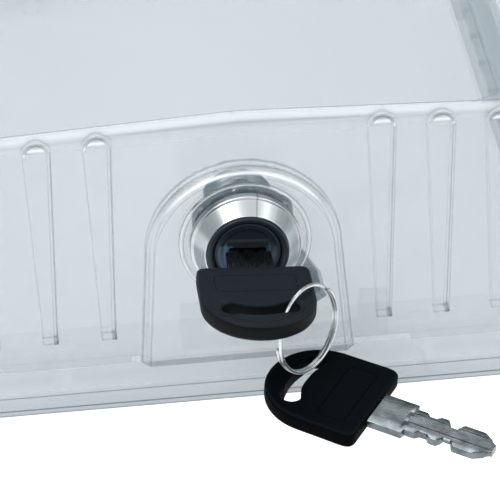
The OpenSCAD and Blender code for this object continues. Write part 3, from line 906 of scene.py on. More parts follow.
@dataclass(frozen=True)
class ArchPad:
    """The arched pad that stands proud of the front wall round the lock."""

    radius: float = 23.2
    rise: float = 2.5
    bevel: float = 2.3
    drop: float = 5.2
    spread_deg: float = 4.4
    behind_y: float = -60.0
    crest_half: tuple[float, float] = (68.6, 83.4)
    sizes: BoxSizes = SIZES

    @property
    def spread(self) -> float:
        """The legs' angle from upright, in radians."""
        return math.radians(self.spread_deg)

    def depth(self, x: np.ndarray, v: np.ndarray) -> np.ndarray:
        """Distance inside the pad's outline: a circle above its centre, and two spreading legs below.

        Args:
            x: place across the wall in millimetres.
            v: place up the wall from the lock's axis.

        Returns:
            The distance in from the outline, negative outside.
        """
        below = -self.drop - v
        circle = self.radius - np.hypot(x, v + self.drop)
        legs = (self.radius + below * math.tan(self.spread) - np.abs(x)) * math.cos(self.spread)
        return np.where(below < 0, circle, legs)

    def bulge(self, x: np.ndarray, v: np.ndarray) -> np.ndarray:
        """Rise of the wall: rise * sin(90 deg * depth / bevel), held at 0 outside and at rise inside."""
        t = np.clip(self.depth(x, v) / self.bevel, 0, 1)
        return self.rise * np.sin(t * np.pi / 2)

    def arch_lines(self, tree: Tree) -> tuple[Value, Value]:
        """Masks of the painted shade and highlight lines round the pad, which are strongest over its top."""
        x, y, z = tree.object_parts()
        front = y.step(-76.0, -80.0)
        v = (z - self.sizes.lock_z) * self.sizes.steep + self.drop
        circle = self.radius - (x * x + v * v).root()
        legs = self.radius - v * math.tan(self.spread) - abs(x)
        above = v.step(-0.3, 0.3)
        depth = circle * above + legs * (1 - above)
        arc = v.step(9.0, 17.0)
        dark = depth.line(0.15, 0.34) * front * (0.38 + 0.3 * arc) + depth.line(2.0, 0.28) * front * 0.34
        return dark, depth.line(1.05, 0.6) * front * (0.10 + 0.90 * arc)

    def crest_lines(self, tree: Tree) -> tuple[Value, Value]:
        """Masks of the painted shade and highlight lines along the crest of the walls, and of those across them below
        it, where a pale highlight band is painted.
        """
        x, y, z = tree.object_parts()
        crest = (abs(x) - self.crest_half[0]).most(abs(y) - self.crest_half[1]) + z.step(66.0, 62.0) * LOW_ON_WALL
        below = self.sizes.ridge_z - self.sizes.top_fall * abs(x) - z
        outside = crest.step(0.4, 1.2) * crest.step(20.0, 10.0)
        dark = crest.line(0.0, 0.35) * 0.55 + below.line(6.6, 2.0) * outside * 0.08
        return dark, crest.line(1.4, 1.0) * 0.04 + below.step(4.9, 4.2) * outside * 0.26

    def lines(self, tree: Tree) -> tuple[Value, Value]:
        """Masks of all the cover's painted shade and highlight lines."""
        dark, light = (arch + crest for arch, crest in zip(self.arch_lines(tree), self.crest_lines(tree)))
        return dark.least(1.0), light.least(1.0)


@dataclass(frozen=True)
class RingPath:
    """The order of points round a rounded rectangle: four sides and four corners, anticlockwise from the front."""

    corner_steps: int = 10
    side_steps: int = 30
    front_x: tuple[float, ...] = ()

    def columns(self) -> tuple[np.ndarray, ...]:
        """Corner signs before and after, share along the side, and the direction outward, for each column."""
        corners = [(-1, -1), (1, -1), (1, 1), (-1, 1)]
        even = np.linspace(0, 1, self.side_steps + 1)
        bend = np.linspace(0, 1, self.corner_steps + 1)[1:-1]
        found: list[tuple[float, ...]] = []
        for side in range(4):
            shares = (np.array(self.front_x) + 1) / 2 if side == 0 and self.front_x else even
            a, b, turn = corners[side], corners[(side + 1) % 4], math.radians(90 * side - 90)
            found += [(*a, *b, share, turn) for share in shares]
            found += [(*b, *b, 0.0, turn + part * math.pi / 2) for part in bend]
        table = np.array(found)
        return table[:, :2], table[:, 2:4], table[:, 4], table[:, 5]

    def points(self, half_w: Any, half_l: Any, radius: Any, centre_y: Any = 0.0) -> tuple[np.ndarray, np.ndarray]:
        """X and Y of the ring for half sizes and a corner radius that may be given for each row and column.

        A point is its corner centre, or a place between two of them, plus the radius along its outward direction.

        Args:
            half_w: half width, as a number or an array that fits (rows, columns).
            half_l: half length, likewise.
            radius: corner radius, likewise.
            centre_y: Y of the ring's middle, likewise.

        Returns:
            X and Y as arrays of rows by columns.
        """
        before, after, share, angle = self.columns()
        mix = before * (1 - share[:, None]) + after * share[:, None]
        x = mix[:, 0] * (half_w - radius) + radius * np.cos(angle)
        y = mix[:, 1] * (half_l - radius) + radius * np.sin(angle) + centre_y
        return x, y


@dataclass
class Cover:
    """The clear cover: walls, top, arched pad, flutes, lock boss, money slot and hinge knuckles."""

    sizes: BoxSizes = SIZES
    pad: ArchPad = field(default_factory=ArchPad)
    corner_r: float = 8.0
    least_corner_r: float = 1.2
    edge_r: float = 2.6
    inner_edge_r: float = 1.2
    slot_half: tuple[float, float] = (45.0, 3.0)
    slot_y: float = 10.0
    border: float = 4.0
    border_top: float = 71.4
    flute_pitch: float = 13.8
    flute_first: float = 32.8
    flute_count: int = 3
    side_flutes: int = 11
    flute_top_w: float = 7.0
    flute_foot_w: float = 3.8
    flute_foot_z: float = 14.1
    flute_over: float = 2.5

    def path(self) -> RingPath:
        """Columns round the cover, close together where the pad rises."""
        dense = np.linspace(-0.42, 0.42, 87)
        left = np.linspace(-1, -0.44, 14)
        return RingPath(front_x=tuple(np.concatenate([left, dense, -left[::-1]]).tolist()))

    def corner(self, inset: float) -> float:
        """Radius of the upright corners of a skin that lies inset from the outer one."""
        return max(self.corner_r - inset, self.least_corner_r)

    def wall_rows(self, share: np.ndarray, inset: float, edge: float) -> tuple[np.ndarray, np.ndarray]:
        """Rows up a wall and round its top edge.

        Up the wall a row lies at z = foot + share * (edge foot - foot) and leans in by lean * (z - foot). Round
        the edge it follows a circle that touches the leaning wall and the top face.

        Args:
            share: heights up the wall from 0 to 1.
            inset: thickness between this skin and the outer one.
            edge: radius of the edge.

        Returns:
            Inward offsets and heights, each rows by columns.
        """
        path, s = self.path(), self.sizes
        top_in = inset + (s.ridge_z - s.rim_h) * s.lean
        x_top, _ = path.points(s.half_w - top_in, s.half_l - top_in, self.corner(inset))
        roof = s.roof(x_top) - inset
        phi = s.lean_turn
        centre_z = roof - edge
        centre_in = inset + (centre_z - s.rim_h) * s.lean + edge / math.cos(phi)
        edge_z = centre_z + edge * math.sin(phi)
        z = s.rim_h + share[:, None] * (edge_z - s.rim_h)
        wall_in = inset + (z - s.rim_h) * s.lean
        angle = np.linspace(phi, np.pi / 2, 9)[1:, None]
        return (
            np.vstack([wall_in, centre_in - edge * np.cos(angle)]),
            np.vstack([z, centre_z + edge * np.sin(angle)]),
        )

    def skin(self, inset: float, edge: float, wall_steps: int) -> tuple[np.ndarray, np.ndarray, np.ndarray, np.ndarray]:
        """One skin of the cover from its foot over its edge to the money slot.

        Args:
            inset: 0 for the outer skin, or the wall's thickness for the inner one.
            edge: radius of the top edge.
            wall_steps: number of rows up the wall.

        Returns:
            X, Y and Z of its points, and the rim mask, each rows by columns.
        """
        s, path = self.sizes, self.path()
        offset, z = self.wall_rows(np.linspace(0, 1, wall_steps), inset, edge)
        corner = np.full_like(offset, self.corner(inset))
        corner[wall_steps:] -= offset[wall_steps:] - offset[wall_steps - 1]
        corner = np.maximum(corner, 0.6)
        x, y = path.points(s.half_w - offset, s.half_l - offset, corner)
        on_front = (y < self.pad.behind_y) * (np.arange(len(z)) < wall_steps)[:, None]
        rise = self.pad.bulge(x, (z - s.lock_z) * s.steep) * on_front
        y = y - rise * math.cos(s.lean_turn)
        z = z + rise * math.sin(s.lean_turn)
        grow = self.border if inset == 0 else 0.0
        half_w, half_l = self.slot_half[0] + grow, self.slot_half[1] + grow
        x_in, y_in = path.points(half_w, half_l, half_l, self.slot_y)
        t = np.linspace(0, 1, 15)[1:, None]
        x_top, y_top = x[-1] * (1 - t) + x_in * t, y[-1] * (1 - t) + y_in * t
        z_top = s.roof(x_top) - inset
        rim = np.zeros_like(z)
        edge_rows = np.linspace(0, 1, len(z) - wall_steps)
        rim[wall_steps:] = (np.sin(edge_rows * np.pi) * 0.75)[:, None]
        rim[0] = 0.5
        rim = np.vstack([rim, np.zeros_like(z_top)])
        return np.vstack([x, x_top]), np.vstack([y, y_top]), np.vstack([z, z_top]), rim

    def slot_wall(self) -> tuple[np.ndarray, np.ndarray, np.ndarray, np.ndarray]:
        """Rows up the slot's border, over its rounded top, and down through the slot."""
        grow = np.array([4.0, 4.0, 3.9, 3.6, 3.2, 0.8, 0.4, 0.1, 0.0, 0.0])[:, None]
        drop = np.array([0.5, 0.4, 0.12, 0.0, 0.0, 0.0, 0.0, 0.12, 0.4, 2.0])[:, None]
        rim = np.array([0.6, 0.7, 0.7, 0.4, 0.1, 0.1, 0.4, 0.7, 0.7, 0.3])[:, None]
        half_w, half_l = self.slot_half
        x, y = self.path().points(half_w + grow, half_l + grow, half_l + grow, self.slot_y)
        return x, y, np.broadcast_to(self.border_top - drop, x.shape), np.broadcast_to(rim, x.shape)

    def shell(self) -> Sheet:
        """The whole cover as one closed surface: outer skin, slot wall, then the inner skin back down."""
        outer = self.skin(0.0, self.edge_r, 92)
        slot = self.slot_wall()
        inner = self.skin(self.sizes.wall, self.inner_edge_r, 60)
        parts = [np.vstack([o, s, i[::-1]]) for o, s, i in zip(outer, slot, inner)]
        return Sheet(np.stack(parts[:3], -1), rim=parts[3], rows_close=True)

    def flute(self, length: float) -> Sheet:
        """One flute on its wall: a tapering bar with a round top and rounded edges.

        The outline runs over the top half circle, down one slanting side, along the foot and up the other side.
        Each row lies inside it by the edge's inset and above the wall by the edge's rise.

        Args:
            length: height of the flute up the wall.

        Returns:
            The closed surface, with Y up the wall and Z outward.
        """
        top, foot = self.flute_top_w / 2, self.flute_foot_w / 2
        inset = np.array([0.0, 0.0, 0.02, 0.10, 0.24, 0.42, 0.62, 0.9, 1.5])[:, None]
        rise = np.array([-1.9, 0.35, 0.70, 0.95, 1.10, 1.18, 1.20, 1.20, 1.20])[:, None]
        rim = np.array([0.0, 0.1, 0.75, 1.0, 0.8, 0.4, 0.1, 0.0, 0.0])[:, None]
        bend = np.linspace(0, np.pi, 25)[None, :]
        cx = (top - inset) * np.cos(bend)
        cy = length - top + (top - inset) * np.sin(bend)
        down = np.linspace(0, 1, 20)[1:-1][None, :]
        side_x = (top - inset) * (1 - down) + (foot - inset) * down
        side_y = (length - top) * (1 - down) + inset * down
        base_x = np.linspace(-1, 1, 9)[None, :] * (foot - inset)
        base_y = np.broadcast_to(inset, base_x.shape)
        x = np.hstack([cx, -side_x, base_x, side_x[:, ::-1]])
        y = np.hstack([cy, side_y, base_y, side_y[:, ::-1]])
        return Sheet(np.stack(np.broadcast_arrays(x, y, rise), -1), rim=rim, cap_start=True, cap_end=True)

    def flute_sheets(self) -> list[Sheet]:
        """Every flute, carried from its wall's frame into the row frame."""
        s = self.sizes
        offsets = [self.flute_first + i * self.flute_pitch for i in range(self.flute_count)]
        spots = [(side * x, turn, x) for turn in (0, 180) for side in (-1, 1) for x in offsets]
        middle = (self.side_flutes - 1) / 2
        along_side = [(i - middle) * self.flute_pitch for i in range(self.side_flutes)]
        spots += [(along, turn, s.half_w) for turn in (90, 270) for along in along_side]
        sheets = []
        for along, turn, x in spots:
            top_z = s.ridge_z - s.top_fall * x - self.edge_r
            length = (top_z - self.flute_foot_z) * s.steep + self.flute_over
            sheet = self.flute(length)
            x_own, up, _ = np.moveaxis(sheet.points, -1, 0)
            sheet.own = np.stack([x_own, length - up, up], -1)
            sheet.points = s.wall_place(along, self.flute_foot_z, turn).to_row(sheet.points)
            sheets.append(sheet)
        return sheets

    def boss(self) -> Sheet:
        """The round boss under the lock's flange, turned from its profile."""
        s, hole_r, foot, under = self.sizes, 9.3, 1.6, 3.6
        profile = rounded_profile(
            [
                (s.boss_r, foot, 0.2),
                (s.boss_r, s.boss_face, 0.5),
                (hole_r, s.boss_face, 0.1),
                (hole_r, under, 0.1),
                (s.boss_inner_r, under, 0.4),
                (s.boss_inner_r, foot, 0.1),
            ]
        )
        off_edge = (profile - [s.boss_r - 0.1, s.boss_face - 0.1]) / [0.35, 0.4]
        rim = 0.35 + 0.6 * np.exp(-(off_edge**2).sum(1))
        return turned_sheet(profile, 128, rim=rim[:, None], rows_close=True)

    def knuckles(self) -> list[Sheet]:
        """Hinge knuckles: a tube round the pin, and a web that joins it to the back wall."""
        outer, bore, half = 3.8, self.sizes.pin_r + 0.06, 6.0
        profile = rounded_profile([(outer, -half, 0.4), (outer, half, 0.4), (bore, half, 0.1), (bore, -half, 0.1)])
        tube = Place(turn_about("Y", 90)).to_row(turned_sheet(profile, 40).points)
        outline = rounded_profile([(-6, -2.6, 0.5), (6, -2.6, 0.5), (6, 2.6, 0.5), (-6, 2.6, 0.5)], 3)
        y = np.array([-5.2, -3.1])[:, None]
        web = np.stack(np.broadcast_arrays(outline[:, 0], y, outline[:, 1]), -1)
        sheets = []
        for centre in (hinge_point(-1), hinge_point(1)):
            sheets.append(Sheet(tube + centre, rim=np.array([[0.25]]), rows_close=True))
            sheets.append(Sheet(web + centre, cap_start=True, cap_end=True))
        return sheets

    def build(self, paint: Finishes) -> None:
        """Writes the cover's pieces."""
        on_cover, place = ("cover", "clear_cover"), self.sizes.lock_place()
        Piece("cover_shell", paint.cover, *on_cover, ["cover"]).write(self.shell())
        Piece("cover_flutes", paint.flutes, *on_cover).write(*self.flute_sheets())
        Piece("lock_boss", paint.boss, *on_cover, place=place).write(self.boss())
        Piece("cover_knuckles", paint.cover, *on_cover).write(*self.knuckles())


# ---------------------------------------------------------------- the lock


@dataclass
class Lock:
    """The cam lock: flanged barrel, black ring, turning plug, nut, washers and cam."""

    sizes: BoxSizes = SIZES
    turn: float = 4.0
    boss_face: float = SIZES.boss_face
    flange_r: float = 13.0
    flange_t: float = 2.0
    cone_h: float = 3.6
    ring_r: float = 9.5
    ring_hole_r: float = 7.95
    barrel_r: float = 9.0
    barrel_l: float = 20.0
    flats: float = 15.9
    pitch: float = 2.0
    plug_r: float = 7.8
    face_s: float = 9.7
    bow_s: float = 18.9
    keyway: tuple[float, float] = (8.3, 2.3)
    nut_af: float = 23.4
    nut_corner_r: float = 13.2
    nut_face_r: float = 12.0
    nut_bore_r: float = 9.1
    nut_t: float = 4.0
    washer_r: float = 12.6
    washer_bore_r: float = 9.15
    washer_t: float = 0.8
    washer_teeth: int = 12
    seat: float = 0.62
    bore_r: float = 5.66

    @property
    def washer_back(self) -> float:
        """Where the star washer ends and the nut starts, behind the wall."""
        return self.boss_face - self.sizes.wall - self.washer_t

    def flange(self) -> Sheet:
        """The flange: a thin rounded edge, a step, and a cone up to the ring's seat, turned from its profile."""
        face, top = self.boss_face, self.boss_face + self.flange_t
        seat_r, cone_top = self.ring_r + 0.06, top + self.cone_h
        profile = rounded_profile(
            [
                (self.flange_r, face, 0.15),
                (self.flange_r, top, 0.55),
                (self.flange_r - 0.75, top, 0.25),
                (self.ring_r + 0.45, cone_top, 0.35),
                (seat_r, cone_top - 0.1, 0.1),
                (seat_r, face + self.seat, 0.1),
                (self.bore_r, face + self.seat, 0.1),
                (self.bore_r, face, 0.1),
            ]
        )
        return turned_sheet(profile, 160, rows_close=True)

    def barrel(self) -> Sheet:
        """The threaded barrel with two flats, on a grid of angle and height.

        The radius follows a triangle wave of the thread's pitch, which climbs one pitch a turn, and is then held
        within half the width across the flats divided by |cos| of the angle.

        Returns:
            The closed surface, with its bore.
        """
        angle = round_angles(96)
        end, start = self.boss_face - self.barrel_l, self.boss_face - 0.02
        z = np.linspace(end, start, 150)[:, None]
        phase = (z - end) / self.pitch - angle / (2 * np.pi)
        wave = np.abs(phase % 1.0 - 0.5) * 2
        fade = np.clip(np.minimum(z - end, self.boss_face - 1.2 - z) / 0.8, 0, 1)
        chamfer = 0.35 * (1 - np.clip((z - end) / 0.6, 0, 1))
        radius = self.barrel_r - 0.55 * np.clip(wave * 1.25 - 0.1, 0, 1) * fade - chamfer
        radius = np.minimum(radius, self.flats / 2 / np.maximum(np.abs(np.cos(angle)), 1e-6))
        radius = np.vstack([radius, np.full((2, angle.size), self.bore_r)])
        return Sheet(polar(radius, angle, np.vstack([z, [[start], [end]]])), rows_close=True)

    def face_ring(self) -> Sheet:
        """The black ring in the flange, with a rounded crown, turned from its profile."""
        base, top = self.boss_face + self.seat, self.boss_face + self.flange_t + self.cone_h + 0.4
        profile = rounded_profile(
            [
                (self.ring_r, base, 0.1),
                (self.ring_r, top, 0.55),
                (8.5, top, 0.3),
                (self.ring_hole_r, top - 0.9, 0.2),
                (self.ring_hole_r, base, 0.1),
            ]
        )
        # The rim mask marks the crown's outer edge, where the black finish paints a pale highlight.
        rim = np.exp(-(((profile[:, 0] - self.ring_r) / 0.3) ** 2)) * (profile[:, 1] > top - 0.6)
        return turned_sheet(profile, 160, rim=rim[:, None], rows_close=True)

    def plug_face(self) -> Sheet:
        """The plug's black face on a grid of angle and distance.

        Its height falls in a shallow dish, rises in a flat-topped bridge across the middle, and drops by the
        keyway's depth where both |x| and |y| are less than half the keyway's sizes.

        Returns:
            The closed surface.
        """
        angle = round_angles(144)
        share = np.concatenate([[0.0005], np.linspace(0.03, 0.94, 60), [0.97, 0.99, 1.0]])[:, None]
        r = share * self.plug_r
        x, y = r * np.cos(angle), r * np.sin(angle)
        edge = np.clip((share - 0.94) / 0.06, 0, 1)
        out = np.clip((r - 5.6) / 0.9, 0, 1)
        dish = -0.55 * (1 - out**2 * (3 - 2 * out))
        key_w, key_t = self.keyway
        wide = np.clip((np.abs(x) - key_w / 2) / 0.15, 0, 1)
        tall = np.clip((np.abs(y) - key_t / 2) / 0.15, 0, 1)
        slot = 1 - np.maximum(wide, tall)
        bridge = np.clip((3.4 - np.abs(y)) / 0.5, 0, 1) * np.clip((5.4 - np.abs(x)) / 0.5, 0, 1)
        z = self.face_s - 0.45 * edge**2 + dish + 0.35 * bridge - 1.6 * slot
        skirt_r = np.array([self.plug_r, self.plug_r, self.plug_r * 0.98, 0.001])[:, None]
        skirt_z = self.face_s - np.array([0.8, 2.3, 2.6, 2.6])[:, None]
        skirt = polar(skirt_r, angle, skirt_z)
        rim = np.vstack([edge + 2 * slot * (1 - slot), np.zeros(skirt.shape[:2])])
        return Sheet(np.concatenate([np.stack([x, y, z], -1), skirt]), rim=rim)

    def nut(self) -> Sheet:
        """The hexagon nut: the radius is held within half the width across flats over cos of the angle from a flat."""
        front = self.washer_back
        back = front - self.nut_t
        corner, face, bore = self.nut_corner_r, self.nut_face_r, self.nut_bore_r
        profile = rounded_profile(
            [
                (corner, back + 0.7, 0.1),
                (corner, front - 0.7, 0.1),
                (face, front, 0.1),
                (bore, front, 0.2),
                (bore, back, 0.2),
                (face, back, 0.1),
            ]
        )

        def hexagon(radius: np.ndarray, angle: np.ndarray) -> np.ndarray:
            """Radius within the hexagon."""
            off = (angle + np.pi / 6) % (np.pi / 3) - np.pi / 6
            return np.where(radius > 10, np.minimum(radius, self.nut_af / 2 / np.cos(off)), radius)

        return turned_sheet(profile, 180, hexagon, rows_close=True)

    def star_washer(self) -> Sheet:
        """The star washer: its outer radius steps between teeth and gaps round the rim."""
        back, front = self.washer_back, self.washer_back + self.washer_t
        outer, bore = self.washer_r, self.washer_bore_r
        profile = rounded_profile([(outer, back, 0.1), (outer, front, 0.1), (bore, front, 0.1), (bore, back, 0.1)], 3)

        def teeth(radius: np.ndarray, angle: np.ndarray) -> np.ndarray:
            """Radius with its teeth."""
            wave = np.clip(np.cos(angle * self.washer_teeth) * 4, -1, 1)
            return np.where(radius > 11, radius - 0.6 + 0.6 * wave, radius)

        return turned_sheet(profile, 240, teeth, rows_close=True)

    def build(self, frame: dict[str, Any], paint: Finishes) -> None:
        """Writes the lock's pieces."""
        still, turning = self.sizes.lock_place(), self.sizes.lock_place(self.turn)
        zinc, plastic, black = ("cover", "lock_zinc"), "black_plastic", paint.lock_black
        Piece("lock_flange", paint.zinc, *zinc, ["lock_body"], still, 28).write(self.flange(), self.barrel())
        Piece("lock_face_ring", black, "cover", plastic, ["face_ring"], still).write(self.face_ring())
        Piece("lock_plug_face", black, "plug", plastic, ["plug_face"], turning, 50).write(self.plug_face())
        Piece("lock_hex_nut", paint.nut, *zinc, ["lock_nut"], still, 28).write(self.nut())
        Piece("lock_star_washer", paint.nut, "cover", "steel", ["star_washer"], still, 28).write(self.star_washer())
        brass, steel = (paint.brass, "plug", "plug_brass"), (paint.steel, "plug", "steel")
        for node, metal, edge in (
            ("lock_plug", brass, 0.12),
            ("wafers", brass, 0.08),
            ("cam", steel, 0.35),
            ("cam_stop_washer", steel, 0.12),
            ("cam_spring_washer", steel, 0.12),
            ("cam_screw", steel, 0.15),
        ):
            Piece(f"{node}_finished", *metal, [node], turning).soften(frame, edge)


# ---------------------------------------------------------------- keys and ring


@dataclass
class Key:
    """One key: a black bow with a slot for the ring, and a nickel-plated blade."""

    name: str
    place: Place
    bow_w: float = 26.0
    bow_l: float = 26.6
    bow_t: float = 4.2
    slot_mid: float = 19.4
    slot_arc: float = 18.0
    slot_half_deg: float = 20.0
    lobe: float = 5.0
    blade_w: float = 7.9
    blade_t: float = 2.0
    blade_l: float = 28.5
    shank_w: float = 10.6
    shank_l: float = 8.5
    head_l: float = 5.0
    cuts: tuple[tuple[float, float], ...] = ((12.6, 1.0), (18.0, 1.7))

    def bow_depth(self, x: np.ndarray, y: np.ndarray) -> np.ndarray:
        """Distance outside the bow's outline: a circle on top of a square-ended block with small corners."""
        r, corner = self.bow_w / 2, 1.6
        circle = np.hypot(x, y - (self.bow_l - r)) - r
        top = self.bow_l - r
        qx = np.abs(x) - (r - corner)
        qy = np.abs(y - top / 2) - (top / 2 - corner)
        block = np.hypot(np.maximum(qx, 0), np.maximum(qy, 0)) + np.minimum(np.maximum(qx, qy), 0) - corner
        filled = np.where((y > top / 2) & (y <= top), np.abs(x) - r, block)
        return np.where(y > top, circle, filled)

    def slot_depth(self, x: np.ndarray, y: np.ndarray) -> np.ndarray:
        """Distance outside the slot: a curved band with a round lobe at each end."""
        centre = self.slot_mid - self.slot_arc
        half = math.radians(self.slot_half_deg)
        end_x, end_y = self.slot_arc * math.sin(half), centre + self.slot_arc * math.cos(half)
        lobes = np.hypot(np.abs(x) - end_x, y - end_y) - self.lobe / 2
        inside = np.abs(np.arctan2(x, y - centre)) < half
        band = np.where(inside, np.abs(np.hypot(x, y - centre) - self.slot_arc) - (self.lobe / 2 - 0.7), 9.0)
        return np.minimum(lobes, band)

    def outline(
        self, depth: Callable[..., np.ndarray], angle: np.ndarray, centre_y: float, far: float
    ) -> np.ndarray:
        """Distance from a middle point to an outline along each angle, found by halving.

        Args:
            depth: function of x and y that is negative inside.
            angle: directions in radians.
            centre_y: Y of the middle point.
            far: a distance that is outside.

        Returns:
            The distances.
        """
        low, high = np.zeros_like(angle), np.full_like(angle, far)
        for _ in range(26):
            middle = (low + high) / 2
            inside = depth(middle * np.cos(angle), centre_y + middle * np.sin(angle)) < 0
            low, high = np.where(inside, middle, low), np.where(inside, high, middle)
        return low

    def bow(self) -> Sheet:
        """The bow: rows run from the slot's edge over the front face, round the outside and back, as one closed tube.

        Each row lies on the way from the slot's outline to the bow's outline, with a quarter-round edge at both,
        and the face between them is hollowed by dip * sin(180 deg * share of the way).

        Returns:
            The closed surface.
        """
        angle = np.linspace(0, 2 * np.pi, 240, endpoint=False)
        middle = self.slot_mid - 0.35
        slot = self.outline(self.slot_depth, angle, middle, 16.0)
        outer = self.outline(self.bow_depth, angle, middle, 40.0)
        for _ in range(2):
            outer = (np.roll(outer, 1) + 2 * outer + np.roll(outer, -1)) / 4
        half, edge, lip, dip = self.bow_t / 2, 1.15, 0.7, 0.28
        bend = np.linspace(0, np.pi / 2, 7)
        out_in, out_z = edge * (1 - np.cos(bend)), half - edge * (1 - np.sin(bend))
        slot_in, slot_z = lip * (1 - np.cos(bend)), half - lip * (1 - np.sin(bend))
        face = np.linspace(0, 1, 12)[1:-1, None]
        a, b = slot + lip, outer - edge
        front_r = np.vstack([slot + slot_in[:, None], a * (1 - face) + b * face, outer - out_in[::-1][:, None]])
        hollow = half - dip * np.sin(np.pi * face)
        front_z = np.vstack([slot_z[:, None], hollow, out_z[::-1][:, None]])
        rounding = np.sin(np.linspace(0, np.pi, len(bend)))[:, None]
        rim = np.vstack([rounding * 0.5, np.zeros_like(face), rounding])
        r = np.vstack([front_r, front_r[::-1]])
        z = np.broadcast_to(np.vstack([front_z, -front_z[::-1]]), r.shape)
        points = np.stack([r * np.cos(angle), middle + r * np.sin(angle), z], -1)
        return Sheet(points, rim=np.vstack([rim, rim[::-1]]), rows_close=True)

    def half_width(self, y: np.ndarray) -> np.ndarray:
        """Half width of the blade at a place along it.

        The shank steps in at its shoulder. Each cut is a flat floor 1.6 mm long with slanting sides, and the tip
        tapers over its last 3.6 mm.
        """
        half = np.where(y > -self.shank_l, self.shank_w / 2, self.blade_w / 2)
        for at, depth in self.cuts:
            slope = (1 + depth) / 1.8
            half = np.minimum(half, self.blade_w / 2 - depth + np.maximum(np.abs(y + at) - 0.8, 0) * slope)
        tip = 1.4 + (y + self.blade_l) / 3.6 * (self.blade_w / 2 - 1.4)
        return np.minimum(half, tip)

    def blade(self) -> Sheet:
        """The blade: each row is a closed loop over its upper and lower faces at one place along it.

        Each face falls by the groove's depth where |x| is within half a groove of the groove's middle, behind the
        shank, and its outer corner is cut by a small slope.

        Returns:
            The closed surface, with caps at the tip and inside the bow.
        """
        shoulder, tip = -self.shank_l, -self.blade_l
        places = [tip, tip + 0.25, shoulder - 0.02, shoulder, shoulder + 0.25, self.head_l - 0.1, self.head_l]
        for at, _ in self.cuts:
            places += [-at - 2.6, -at - 0.8, -at + 0.8, -at + 2.6]
        y = np.unique(np.concatenate([places, np.linspace(tip, self.head_l, 90)]))
        half = self.half_width(y)[:, None]
        inner = np.array([0.0, 1.0, 1.15, 1.3, 2.1, 2.25, 2.4])[None, :]
        outer = half - np.array([0.35, 0.18, 0.06, 0.0])[None, :]
        x = np.hstack([np.minimum(inner, half - 0.4), outer])
        fade = np.clip((shoulder + 1.0 - y[:, None]) / 0.8, 0, 1)
        groove = 0.36 * np.clip((0.7 - np.abs(x - 1.7)) / 0.2, 0, 1) * fade
        corner = np.hstack([np.zeros_like(inner), np.array([[0.0, 0.04, 0.14, 0.3]])])
        z = self.blade_t / 2 - groove - corner
        loop_x = np.hstack([x[:, ::-1], -x[:, 1:], -x[:, ::-1], x[:, 1:]])
        loop_z = np.hstack([z[:, ::-1], z[:, 1:], -z[:, ::-1], -z[:, 1:]])
        loop_y = np.broadcast_to(y[:, None], loop_x.shape)
        return Sheet(np.stack([loop_x, loop_y, loop_z], -1), cap_start=True, cap_end=True)

    def build(self, paint: Finishes) -> None:
        """Writes the key's two pieces."""
        name, place = self.name, self.place
        # Key 2's bow takes the copy of the black plastic that is painted darker as shade.
        plastic = paint.bow if name == "key_1" else paint.spare_bow
        Piece(f"{name}_grip", plastic, name, "black_plastic", [f"{name}_bow"], place, 60).write(self.bow())
        Piece(f"{name}_cut_blade", paint.nickel, name, "key_metal", [f"{name}_blade"], place, 25).write(self.blade())


@dataclass
class SplitRing:
    """The split ring: one wire wound a little over one and a half turns."""

    place: Place
    radius: float = 10.1
    wire: float = 0.43
    start_deg: float = 38.0
    turns_deg: float = 581.0
    single_deg: float = 139.0

    def wire_sheet(self) -> Sheet:
        """A round wire swept along the ring.

        The path's angle falls steadily. Its side offset is +wire on the first stretch, goes smoothly to -wire over
        the single stretch, and stays there on the last one, so the two stretches lie side by side.

        Returns:
            The closed surface, with blunt rounded ends.
        """
        double = (self.turns_deg - self.single_deg) / 2
        travel = np.linspace(0, self.turns_deg, 260)
        t = np.clip((travel - double) / self.single_deg, 0, 1)
        side = self.wire * (1 - 2 * t * t * (3 - 2 * t))
        angle = np.radians(self.start_deg - travel)
        blunt = np.clip(np.minimum(travel, self.turns_deg - travel) / 2.4, 0.0, 1.0)
        thick = self.wire * np.sqrt(np.clip(1 - (1 - blunt) ** 2, 0.002, 1))
        section = round_angles(20)
        r = self.radius + thick[:, None] * np.cos(section)
        x = side[:, None] + thick[:, None] * np.sin(section)
        points = np.stack([x, r * np.cos(angle)[:, None], r * np.sin(angle)[:, None]], -1)
        return Sheet(points, cap_start=True, cap_end=True)

    def build(self, steel: Material) -> None:
        """Writes the ring."""
        Piece("split_ring", steel, "ring", "steel", ["key_ring"], self.place, 60).write(self.wire_sheet())


# ---------------------------------------------------------------- tray and pins


@dataclass
class Tray:
    """The clear base tray and the steel hinge pins."""

    edge: float = 0.45
    pin_half: float = 12.7
    pin_head_r: float = 2.75
    pin_head_t: float = 1.2

    def pins(self) -> list[Sheet]:
        """Two headed pins on the hinge's axis, turned from their profile."""
        head = self.pin_half + self.pin_head_t
        profile = rounded_profile(
            [
                (0.001, -self.pin_half, 0.0),
                (SIZES.pin_r, -self.pin_half, 0.25),
                (SIZES.pin_r, self.pin_half, 0.1),
                (self.pin_head_r, self.pin_half, 0.2),
                (self.pin_head_r, head, 0.5),
                (0.001, head, 0.0),
            ],
            closed=False,
        )
        pin = turned_sheet(profile, 40).points
        across = Place(turn_about("Y", 90))
        return [Sheet(across.to_row(pin * np.array([1, 1, side])) + hinge_point(side)) for side in (-1, 1)]

    def build(self, frame: dict[str, Any], paint: Finishes) -> None:
        """Writes the tray, its catch and its pins."""
        for node, clear in (("base_tray", paint.tray), ("catch", paint.catch)):
            Piece(f"{node}_finished", clear, "base", "clear_base", [node]).soften(frame, self.edge)
        Piece("hinge_pins_turned", paint.steel, "base", "steel", ["hinge_pins"]).write(*self.pins())


# ---------------------------------------------------------------- studio


